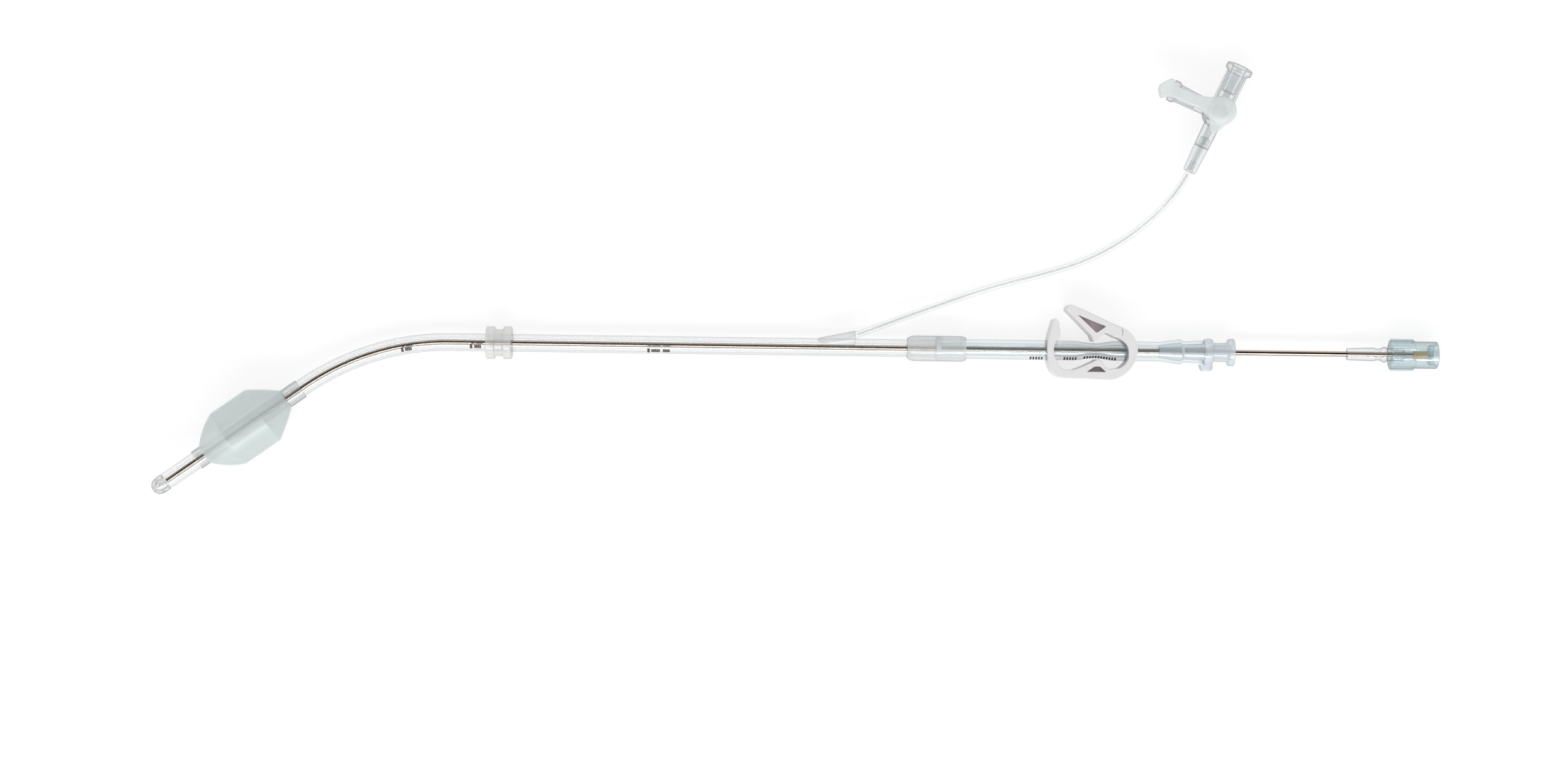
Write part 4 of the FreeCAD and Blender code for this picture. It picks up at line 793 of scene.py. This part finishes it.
def over_barb(station, rest, wall):
    """Radius of a tube wall where it is stretched over the barb."""
    along = station - BARB_TIP
    if along < 0:
        return rest
    for (low, first), (high, last) in zip(BARB, BARB[1:]):
        if along <= high + 1e-6:
            return first + (last - first) * (along - low) / (high - low) + wall
    return BARB[-1][1] + wall


def dented(dx):
    """0 away from the clamp's nubs and 1 between them."""
    return max(0.0, 1 - (dx / 6.0) ** 2) ** 2


def hose_point(station, angle, inside=False, proud=0.0):
    """A point on the hose: round at rest, flattened between the nubs, stretched over the barb."""
    dent = dented(station - NUBS)
    radius = over_barb(station, 1.8, 0.0) if inside else over_barb(station, 2.8, 0.9) + proud
    return (station, (radius - 0.65 * dent) * math.cos(angle), (radius + 0.5 * dent) * math.sin(angle))


SIDES = 48
tube_stations = sorted(
    [EXT_START + 2.0 * step for step in range(19)]
    + [NUBS + 0.5 * step for step in range(-14, 15)]
    + [NUBS + 7.5 + 1.5 * step for step in range(7)]
    + [BARB_TIP + step for step in (-0.6, 0.0, 1.4, 2.8, 4.2, 5.2, 5.7, 6.2, 6.6, 7.0, 8.0, 9.5, 11.0, 12.8)]
)
tube_stations = [station for station in tube_stations if station <= EXT_END + 1e-6]
hose_points, hose_faces = [], []
for inside in (False, True):
    for station in tube_stations:
        hose_points += [hose_point(station, 2 * math.pi * step / SIDES, inside) for step in range(SIDES)]
rows = len(tube_stations)
for layer in range(2):
    for row in range(rows - 1):
        if layer == 1 and tube_stations[row] >= BARB_TIP - 1e-6:
            continue
        for step in range(SIDES):
            base, after = (layer * rows + row) * SIDES, (step + 1) % SIDES
            hose_faces.append((base + step, base + after, base + SIDES + after, base + SIDES + step))
for row in (0, rows - 1):
    for step in range(SIDES):
        after = (step + 1) % SIDES
        outer, inner = row * SIDES, (rows + row) * SIDES
        hose_faces.append((outer + step, outer + after, inner + after, inner + step))
extension = new_piece("extension_hose", hose_points, hose_faces, STRAIGHT)
dressed(extension, "clear_vinyl", None, "extension_tube")
still_y, pressed_y = (BEND_START.y - 2.1) * MM, (BEND_START.y + 2.1) * MM
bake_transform(extension, "cannula", "lever", start=(0, still_y, 0), end=(0, pressed_y, 0))
press = extension.data.attributes["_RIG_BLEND"]
nub_x = (BEND_START.x + NUBS) * MM
for vertex, value in zip(extension.data.vertices, press.data):
    value.value *= math.exp(-((vertex.co.x - nub_x) / (3.4 * MM)) ** 2)

# %% [markdown]
# ## The barbed fitting
#
# A barb holds the tube, a flange with two wings gives the fingers a grip, and an open luer takes
# the stylet or the blood line. The body and its bore are one turned outline. The wings are plates
# that are joined to it, and the bore is then cut once more to clear their roots.

# %% Luer fitting
FLANGE = EXT_END
FLANGE_END = FLANGE + 2.5
barb_edge = [(BARB_TIP + along, radius) for along, radius in BARB]
fitting_profile = [(BARB_TIP, 1.2)] + barb_edge + [
    (FLANGE, 3.7), (FLANGE_END, 3.7), (FLANGE_END, 2.65), (FITTING_END - 2.1, 2.75), (FITTING_END - 1.7, 3.9),
    (FITTING_END, 3.9), (FITTING_END, 2.15), (FITTING_END - 8.0, 1.91), (FITTING_END - 8.0, 1.2),
]
fitting = lathe("luer_fitting_clear", eased(fitting_profile, 0.35), STRAIGHT, 72)
upper_wing = traced([
    (FLANGE + 0.3, 1.0), (FLANGE_END - 0.1, 1.0), (FLANGE_END - 0.1, 3.4, 1.4), (FLANGE + 0.3, 3.4),
], 0.25)
lower_wing = traced([
    (FLANGE + 0.3, -1.0), (FLANGE + 0.3, -3.6), (FLANGE - 1.2, -3.6), (FLANGE - 0.8, -4.9, 0.9),
    (FLANGE, -5.4), (FLANGE_END - 0.9, -5.4, 1.2), (FLANGE_END - 0.1, -4.6), (FLANGE_END - 0.1, -1.0),
], 0.25)
for number, wing in enumerate((upper_wing, lower_wing)):
    combined(fitting, plate(f"wing{number}", wing, -2.3, 2.3, STRAIGHT, 0.35), "UNION")
bore_outline = [(BARB_TIP - 1, 0), (BARB_TIP - 1, 1.2), (FITTING_END - 2, 1.2), (FITTING_END - 2, 0)]
combined(fitting, lathe("bore", bore_outline, STRAIGHT, 72, False), "DIFFERENCE")
dressed(fitting, "milky_rigid", "cannula", "luer_fitting")
print("fitting ends at station", FITTING_END)

# %% [markdown]
# ## The pinch clamp
#
# The clamp is one flat moulding that is bent round the tube: a loop with a nub, a latch leg, and
# a lever with a second nub. Squeezed, the nubs shut the tube and the latch catches the lever. Its
# outline is traced with arcs and given the full depth of 10 mm. The two windows save plastic and
# keep a thin web in the middle, which gets its own plate and a mauve finish of painted shade. The
# tube's way through the leg and the loop is cut last, as round holes.

# %% Clamp frame and lever
HINGE = (6.1, 5.3)
frame_edge = [
    (HINGE[0] + 0.3, HINGE[1] - 1.55), (HINGE[0] + 0.3, HINGE[1] + 1.75), (8.1, 6.35, -7.0), (10.6, -4.0, -8.4),
    (4.3, -8.35), (-8.1, -7.95, -4.55), (-13.2, -4.3, -16.3), (-13.3, 4.45), (-12.15, 8.7, -0.55), (-11.25, 8.9),
    (-10.6, 7.8), (-10.2, 4.8), (-10.3, 3.7, -0.7), (-11.3, 3.1), (-12.0, 0.9, 8.0), (-10.8, -3.95, 2.8),
    (-8.6, -5.6), (-6.1, -5.5), (-3.5, -4.5), (-0.3, -2.95, -1.15), (1.6, -2.95), (2.7, -4.55, 1.6), (4.3, -5.15),
    (6.6, -5.0, 4.4), (9.4, -1.7, 7.0), (8.9, 1.7, 7.5),
]
lever_edge = [
    (-8.0, 12.8), (-8.5, 11.9, 1.3), (-7.9, 10.9), (-1.25, 4.3), (-0.95, 3.2, 0.85), (0.65, 3.2), (1.5, 4.3, -1.6),
    (3.9, 4.75), (HINGE[0] - 0.25, HINGE[1] - 1.4), (HINGE[0] - 0.25, HINGE[1] + 2.0), (-4.3, 11.9), (-6.9, 12.9, 0.9),
]
clamp_body = plate("pinch_clamp_body", eased(traced(frame_edge, 0.6), 0.5, 2), -5.0, 5.0, CLAMP, 0.3)
low_window = eased([(1.3, -4.55), (-0.4, -4.55), (-2.6, -6.1), (3.0, -6.1)], 0.3)
combined(clamp_body, plate("window", low_window, -6, 6, CLAMP, 0), "DIFFERENCE")
SHAFT = CLAMP @ Matrix.Translation((HINGE[0], HINGE[1], 0)) @ UPRIGHT
combined(clamp_body, lathe("socket", [(-6, 0), (-6, 1.58), (6, 1.58), (6, 0)], SHAFT, 40, False), "DIFFERENCE")
for name, low, high in (("leg_hole", -15, -11.1), ("loop_hole", 7.2, 12.8)):
    combined(clamp_body, lathe(name, [(low, 0), (low, 3.1), (high, 3.1), (high, 0)], CLAMP, 56, False), "DIFFERENCE")
dressed(clamp_body, "white_plastic", "cannula", "clamp_frame")

lever = plate("pinch_clamp_lever", eased(traced(lever_edge, 0.6), 0.5, 2), -5.0, 5.0, CLAMP, 0.3)
high_window = eased([(-5.4, 10.15), (0.1, 4.95), (2.9, 6.9)], 0.45)
combined(lever, plate("window", high_window, -6, 6, CLAMP, 0), "DIFFERENCE")
combined(lever, lathe("knuckle", eased([(-5, 0), (-5, 1.5), (5, 1.5), (5, 0)], 0.3), SHAFT, 40), "UNION")
dressed(lever, "white_plastic", "lever", "clamp_lever")
# the webs take the mauve finish of painted shade
dressed(plate("window_web_low", low_window, -0.8, 0.8, CLAMP, 0), "clamp_web_painted_shade", "cannula")
dressed(plate("window_web_high", high_window, -0.8, 0.8, CLAMP, 0), "clamp_web_painted_shade", "lever")

# %% [markdown]
# ## The living hinge
#
# The lever has no pin: the loop's thin back bends each time. The frame and the lever are two
# rigid bodies in the model, so a short strip over the gap is blended from one to the other and
# bends with them. It has cross-sections close together, because a mesh bends only at its points.

# %% Living hinge
def hinge_column(x, low, high, bottom=-4.98, top=5.02, ease=0.3):
    """Eight corners of the strip's section at one station."""
    return [
        (x, low + ease, bottom), (x, high - ease, bottom), (x, high, bottom + ease), (x, high, top - ease),
        (x, high - ease, top), (x, low + ease, top), (x, low, top - ease), (x, low, bottom + ease),
    ]


strip_edge = [
    (4.4, 4.6, 7.88, -4.98, 4.93), (5.0, 4.24, 7.7), (5.5, 4.02, 7.47), (5.85, 3.87, 7.32),
    (6.1, 3.78, 7.2), (6.4, 3.7, 7.08), (6.8, 3.49, 6.91), (7.3, 3.26, 6.6, -4.98, 4.93),
]
strip_points = [corner for column in strip_edge for corner in hinge_column(*column)]
strip_faces = [tuple(range(8)), tuple(range(len(strip_points) - 8, len(strip_points)))]
for column in range(len(strip_edge) - 1):
    for step in range(8):
        base, after = column * 8, (step + 1) % 8
        strip_faces.append((base + step, base + after, base + 8 + after, base + 8 + step))
hinge = dressed(new_piece("living_hinge", strip_points, strip_faces, CLAMP), "white_plastic", None)
hinge_start, hinge_end = CLAMP @ Vector((7.3, 4.9, 0)), CLAMP @ Vector((4.4, 6.2, 0))
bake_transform(hinge, "cannula", "lever", start=tuple(hinge_start * MM), end=tuple(hinge_end * MM))

# %% [markdown]
# ## The stylet's handle
#
# The rod is glued into a ribbed, tinted handle with a clear cone in front that seats in the luer.
# The amber block is the resin that holds the rod's end. The ribs could be twelve bars that are
# joined on, but a lathe whose radius changes with the angle makes them in one sound mesh.

# %% Cone, ribbed handle and resin
cone_profile = [
    (CONE_START, 0.8), (CONE_START, 1.7), (CONE_START + 7.8, 1.95), (CONE_START + 8.3, 1.68), (CONE_START + 9.6, 1.68),
    (GRIP_START - 1.9, 2.25), (GRIP_START - 1.3, 2.25), (GRIP_START - 1.0, 1.825), (GRIP_START + 4.0, 1.825),
    (GRIP_START + 4.0, 0.8),
]
cone = lathe("stylet_cone", eased(cone_profile, 0.2, closed=False), STRAIGHT, 56, closed=False)
dressed(cone, "clear_rigid", "stylet", "stylet_sleeve")


def grip_ribs(station, radius, angle):
    """Twelve flat-topped ribs that die out at both ends of the grip."""
    if radius < 3.9 or not GRIP_START < station < CUP_START:
        return 0.0
    ends = min(station - GRIP_START, CUP_START - station) / 0.25
    return 0.42 * min(1.0, max(0.0, (math.cos(12 * angle) + 0.1) / 0.5)) * min(1.0, ends)


grip_stops = [GRIP_START + 0.25 + 6.3 * step / 6 for step in range(7)]
handle_profile = eased([(GRIP_START, 1.825), (GRIP_START, 3.9)], 0.1, closed=False)
handle_profile += [(GRIP_START + 0.1, 4.05)] + [(stop, 4.15) for stop in grip_stops] + [(CUP_START - 0.1, 4.05)]
handle_profile += eased([
    (CUP_START, 3.9), (HANDLE_END, 3.9), (HANDLE_END, 2.9), (HANDLE_END - 2.2, 2.9), (HANDLE_END - 2.2, 0.0),
], 0.25, closed=False)
grip = lathe("stylet_grip", handle_profile, STRAIGHT, 288, closed=False, swell=grip_ribs)
dressed(grip, "blue_tint", "stylet", "stylet_handle")
resin_profile = [
    (CUP_START, 0.8), (CUP_START + 3.5, 0.8), (CUP_START + 3.5, 0), (CUP_START + 3.88, 0),
    (CUP_START + 3.88, 1.18), (CUP_START, 1.18),
]
dressed(lathe("resin_fill", resin_profile, STRAIGHT, 40), "amber_resin", "stylet", "resin_plug")
print("handle ends at station", HANDLE_END)

# %% [markdown]
# ## The stopcock's body
#
# A barrel with three arms: an open luer straight on, an open luer to the side, and the leg that
# takes the side line. It is moulded in one clear piece, so the arms are joined to the barrel
# first, and the bores and the plug's seat are cut out last. Cuts between shapes that meet edge on
# edge leave holes in a mesh, so each arm and bore is rolled by its own degree or two.

# %% Stopcock body
LEGS = STOPCOCK @ Matrix.Translation((0, 0, 6.0))
PORT = LEGS @ Matrix.Rotation(math.radians(90), 4, "Z")
LINE_LEG = LEGS @ Matrix.Rotation(math.radians(180), 4, "Z")
RUN_REACH, PORT_REACH, LEG_REACH = 14.6, 14.9, 10.8
BARREL_TOP = 10.4


def luer_outline(reach):
    """Outline of an open luer: root, taper and flange."""
    flange = [(reach - 2.2, 2.65), (reach - 1.5, 3.9), (reach, 3.9), (reach, 0)]
    return eased([(1.2, 0), (1.2, 2.3), (2.5, 2.3)] + flange, 0.3, closed=False)


def two_lugs(station, radius, angle):
    """A luer's flange is cut away at two sides, so that a cap's thread can start on the lugs."""
    return -0.75 * math.cos(angle) ** 2 * max(0.0, radius - 2.75) / 1.15


def luer_hollow(reach):
    """The passage from the plug, and the luer's own cone, out past its mouth."""
    passage = [(0.1, 0), (0.1, 0.8), (reach - 8.0, 0.8)]
    return passage + [(reach - 8.0, 1.91), (reach, 2.15), (reach + 1, 2.2), (reach + 1, 0)]


def rolled(bench, degrees):
    """The bench rolled a little about its own axis: two shapes that meet edge on edge don't join cleanly."""
    return bench @ Matrix.Rotation(math.radians(degrees), 4, "X")


BARREL = STOPCOCK @ UPRIGHT
leg_outline = eased([(1.25, 0), (1.25, 2.37), (LEG_REACH, 2.2), (LEG_REACH, 0)], 0.25, closed=False)
leg_hollow = [(0.1, 0), (0.1, 0.8), (LEG_REACH - 2.8, 0.8), (LEG_REACH - 2.8, 0)]
barrel_outline = [(0, 0), (0, 3.4), (0.3, 3.7), (BARREL_TOP - 0.3, 3.7), (BARREL_TOP, 3.4), (BARREL_TOP, 0)]
barrel = lathe("stopcock_clear", barrel_outline, BARREL, 72, False)
combined(barrel, lathe("run", luer_outline(RUN_REACH), rolled(LEGS, 0.7), 64, False), "UNION")
combined(barrel, lathe("port", luer_outline(PORT_REACH), rolled(PORT, 1.3), 60, False, two_lugs), "UNION")
combined(barrel, lathe("leg", leg_outline, rolled(LINE_LEG, 2.1), 62, False), "UNION")
ribs_outline = [(1.5, -3.05), (RUN_REACH - 1.9, -3.05), (RUN_REACH - 1.9, 3.05), (1.5, 3.05)]
combined(barrel, plate("ribs", ribs_outline, -0.45, 0.45, LEGS, 0.12), "UNION")
combined(barrel, lathe("leg_bore", leg_hollow, rolled(LINE_LEG, 0.9), 44, False), "DIFFERENCE")
combined(barrel, lathe("port_bore", luer_hollow(PORT_REACH), rolled(PORT, 2.6), 50, False), "DIFFERENCE")
combined(barrel, lathe("run_bore", luer_hollow(RUN_REACH), rolled(LEGS, 1.7), 48, False), "DIFFERENCE")
seat_outline = [(0.5, 0), (0.5, 2.35), (BARREL_TOP + 1, 2.35), (BARREL_TOP + 1, 0)]
combined(barrel, lathe("seat", seat_outline, rolled(BARREL, 0.6), 58, False), "DIFFERENCE")
dressed(barrel, "clear_rigid", "cannula", "stopcock_body")

# %% [markdown]
# ## The stopcock's handle
#
# The frosted handle and the plug are one moulding, with an arm that points at the closed way and
# a short lobe for the thumb. Its forms run into each other without an edge. A remesh with small
# voxels and a few rounds of smoothing give that soft blend, which bevels on a joined mesh don't.
# The two passages are bored after the smoothing, so that they stay round.

# %% Stopcock handle
HANDLE = STOPCOCK @ Matrix.Rotation(math.radians(5), 4, "Z")
HANDLE_LOW, HANDLE_TOP = 10.7, 15.1
hub = [
    (0.8, 0), (0.8, 2.3), (HANDLE_LOW, 2.3), (HANDLE_LOW, 4.1), (HANDLE_TOP - 1.3, 4.1),
    (HANDLE_TOP - 0.5, 3.4), (HANDLE_TOP - 0.1, 2.2), (HANDLE_TOP, 0),
]
handle = lathe("stopcock_handle_frosted", hub, HANDLE @ UPRIGHT, 72, False)
arm = traced([
    (-3.3, 1.4), (3.3, 1.4), (3.3, 2.4, -9.0), (1.75, 8.5), (1.75, 12.2, -4.5), (3.4, 16.1), (3.0, 17.0),
    (0.8, 19.0), (-0.6, 19.0), (-2.7, 17.6), (-2.6, 16.9, -4.5), (-1.75, 12.2), (-1.75, 8.5, -9.0), (-3.3, 2.4),
])
lobe = traced([(0, -3.2), (0, 3.2), (-1.8, 3.2), (-6.1, 1.1, 1.2), (-6.1, -1.1), (-1.8, -3.2)])
combined(handle, plate("arm", arm, HANDLE_LOW, HANDLE_LOW + 3.4, HANDLE, 0), "UNION")
combined(handle, plate("lobe", lobe, HANDLE_LOW, HANDLE_LOW + 2.2, HANDLE, 0), "UNION")
applied(handle, "REMESH", mode="VOXEL", voxel_size=0.19 * MM)
applied(handle, "SMOOTH", factor=0.5, iterations=7)
plug_run = HANDLE @ Matrix.Translation((0, 0, 6.0))
plug_port = plug_run @ Matrix.Rotation(math.radians(90), 4, "Z")
combined(handle, lathe("run_way", [(-3, 0), (-3, 0.8), (3, 0.8), (3, 0)], plug_run, 32, False), "DIFFERENCE")
combined(handle, lathe("port_way", [(0, 0), (0, 0.8), (3, 0.8), (3, 0)], plug_port, 32, False), "DIFFERENCE")
dressed(handle, "frosted_rigid", "stopcock_plug", "stopcock_handle", crease=60)

# %% [markdown]
# ## The line's sleeve
#
# A bonded sleeve carries the thin line into the stopcock's leg. With it, everything on the line's
# far end is there.

# %% Line sleeve
sleeve = [
    (LEG_REACH - 2.8, 0.5), (LEG_REACH - 2.8, 1.4), (LEG_REACH, 1.4), (LEG_REACH, 2.2),
    (18.7, 1.9), (18.7, 0.95), (15.7, 0.5),
]
line_sleeve = lathe("line_sleeve_bush", eased(sleeve, 0.25), LINE_LEG, 56)
dressed(line_sleeve, "sleeve_vinyl", "cannula", "line_sleeve")

# %% [markdown]
# ## Printed marks
#
# Depth bars are printed on the tube, and a dotted line on the softer one. Both are bare marks:
# bars, short strokes and dots. Ink could be painted by a mask in the tube's own finish, but a
# patch of mesh a hundredth of a millimetre off the wall has a crisp edge and follows the tube.

# %% Depth bars and dots
def printed(name, marks, bench, radius):
    """Ink patches on a round tube: first and last station, first and last angle from the top towards -Y."""
    points, faces = [], []
    for low, high, near, far in marks:
        first = len(points)
        for station in (low, (low + high) / 2, high):
            for step in range(5):
                angle = math.radians(near + (far - near) * step / 4)
                y, z = -radius * math.sin(angle), radius * math.cos(angle)
                if station < 0:
                    turn, reach = -station / BEND_RADIUS, BEND_RADIUS + y
                    points.append((-reach * math.sin(turn), reach * math.cos(turn) - BEND_RADIUS, z))
                else:
                    points.append((station, y, z))
        for row in range(2):
            for step in range(4):
                base = first + row * 5 + step
                faces.append((base, base + 1, base + 6, base + 5))
    return new_piece(name, points, faces, bench)


def depth_mark(station, near, far, groups):
    """A bar across the tube and, beside it, groups of short strokes."""
    middle = (near + far) / 2
    marks = [(station - 0.36, station + 0.36, near, far)]
    for start, count in groups:
        strokes = [station + start + 0.5 * step for step in range(count)]
        marks += [(stroke, stroke + 0.45, middle - 13, middle + 13) for stroke in strokes]
    return marks


bars = depth_mark(-13.7, 22, 54, [(0.8, 4)]) + depth_mark(6.3, 22, 54, [(0.9, 4)])
bars += depth_mark(57.1, 36, 72, [(0.8, 5), (4.1, 4)])
dressed(printed("depth_bars", bars, BEND, 2.512), "mark_ink", "cannula")
dots = [NUBS + start + 0.8 * step for start, count in [(-18.6, 5), (-8.9, 5), (-3.2, 12)] for step in range(count)]
dot_points, dot_faces = [], []
for station in dots:
    first = len(dot_points)
    for along in (0.0, 0.26, 0.52):
        for turn in (44, 55, 66, 77):
            dot_points.append(hose_point(station + along, math.radians(90 + turn), proud=0.015))
    for row in range(2):
        for step in range(3):
            base = first + row * 4 + step
            dot_faces.append((base, base + 1, base + 5, base + 4))
dressed(new_piece("hose_dots", dot_points, dot_faces, STRAIGHT), "mark_ink", "cannula")

# %% [markdown]
# ## Table and light
#
# Clear plastic shows little but what stands around it, so the stage is part of its look. The
# table and the room are white to the eye, to a gloss and through a clear wall. To light that is
# being gathered they are no brighter than real ones, so the part is lit at a plain level and
# still leaves a soft shadow. One long strip, like a window, draws the line along every tube.

# %% Stage
floor_mesh = bpy.data.meshes.new("table")
floor_mesh.from_pydata([(-3, -3, -0.0002), (3, -3, -0.0002), (3, 3, -0.0002), (-3, 3, -0.0002)], [], [(0, 1, 2, 3)])
floor = bpy.data.objects.new("table", floor_mesh)
bpy.context.scene.collection.objects.link(floor)
table = Finish("table_white")
lit = table.add("BsdfDiffuse", {}, {"Color": table.shade((0.88, 0.88, 0.88), (0.28, 0.28, 0.28), table.seen())})
glow = table.add("Emission", {}, {"Color": (1, 1, 1), "Strength": table.seen() * 0.76})
floor_mesh.materials.append(table.show(table.add("AddShader", {}, {0: lit, 1: glow})))

room = Finish("soft_room", world=True)
back = room.add("Background", {}, {"Color": (1, 1, 1), "Strength": 1 - 0.3 * (1 - room.seen())})
bpy.context.scene.world = room.show(back)
print("the table gives", len(table.tree.nodes), "nodes, the room", len(room.tree.nodes))


def soft_lamp(name, place, length, width, watts):
    """A soft box that looks at the middle of the part, with its long side along X."""
    light = bpy.data.lights.new(name, "AREA")
    light.shape = "RECTANGLE"
    light.size, light.size_y, light.energy = length, width, watts
    lamp = bpy.data.objects.new(name, light)
    lamp.location = place
    lamp.rotation_euler = (-Vector(place)).to_track_quat("-Z", "Y").to_euler()
    bpy.context.scene.collection.objects.link(lamp)
    return lamp


soft_lamp("strip_window", (0.0, -0.80, 0.89), 1.4, 0.2, 6.4)

# %% [markdown]
# ## The dark card
#
# A bright wire in a white room would vanish. Photographers hold a dark card over such a thing,
# and its reflection draws the dark line down the steel. This one is seen only by glossy rays, so
# it throws no shadow and never stands in the picture.

# %% Dark card
card_way = Vector((0, math.sin(math.radians(20)), math.cos(math.radians(20))))
card_across = Vector((0, card_way.z, -card_way.y))
card_middle = card_way * 1.0
CARD_HALF = Vector((1.6, 0.64))
card_corners = [
    card_middle + Vector((CARD_HALF.x * along, 0, 0)) + card_across * (CARD_HALF.y * across)
    for along, across in ((-1, -1), (1, -1), (1, 1), (-1, 1))
]
card_mesh = bpy.data.meshes.new("dark_card")
card_mesh.from_pydata([tuple(corner) for corner in card_corners], [], [(0, 1, 2, 3)])
card = bpy.data.objects.new("dark_card", card_mesh)
bpy.context.scene.collection.objects.link(card)
for kind in ("camera", "diffuse", "transmission", "shadow", "volume_scatter"):
    setattr(card, f"visible_{kind}", False)
felt = Finish("dark_felt")
card_mesh.materials.append(felt.show(felt.add("BsdfDiffuse", {}, {"Color": (0.01, 0.008, 0.007)})))
print("dark card", [round(value, 2) for value in card_middle])

# %% [markdown]
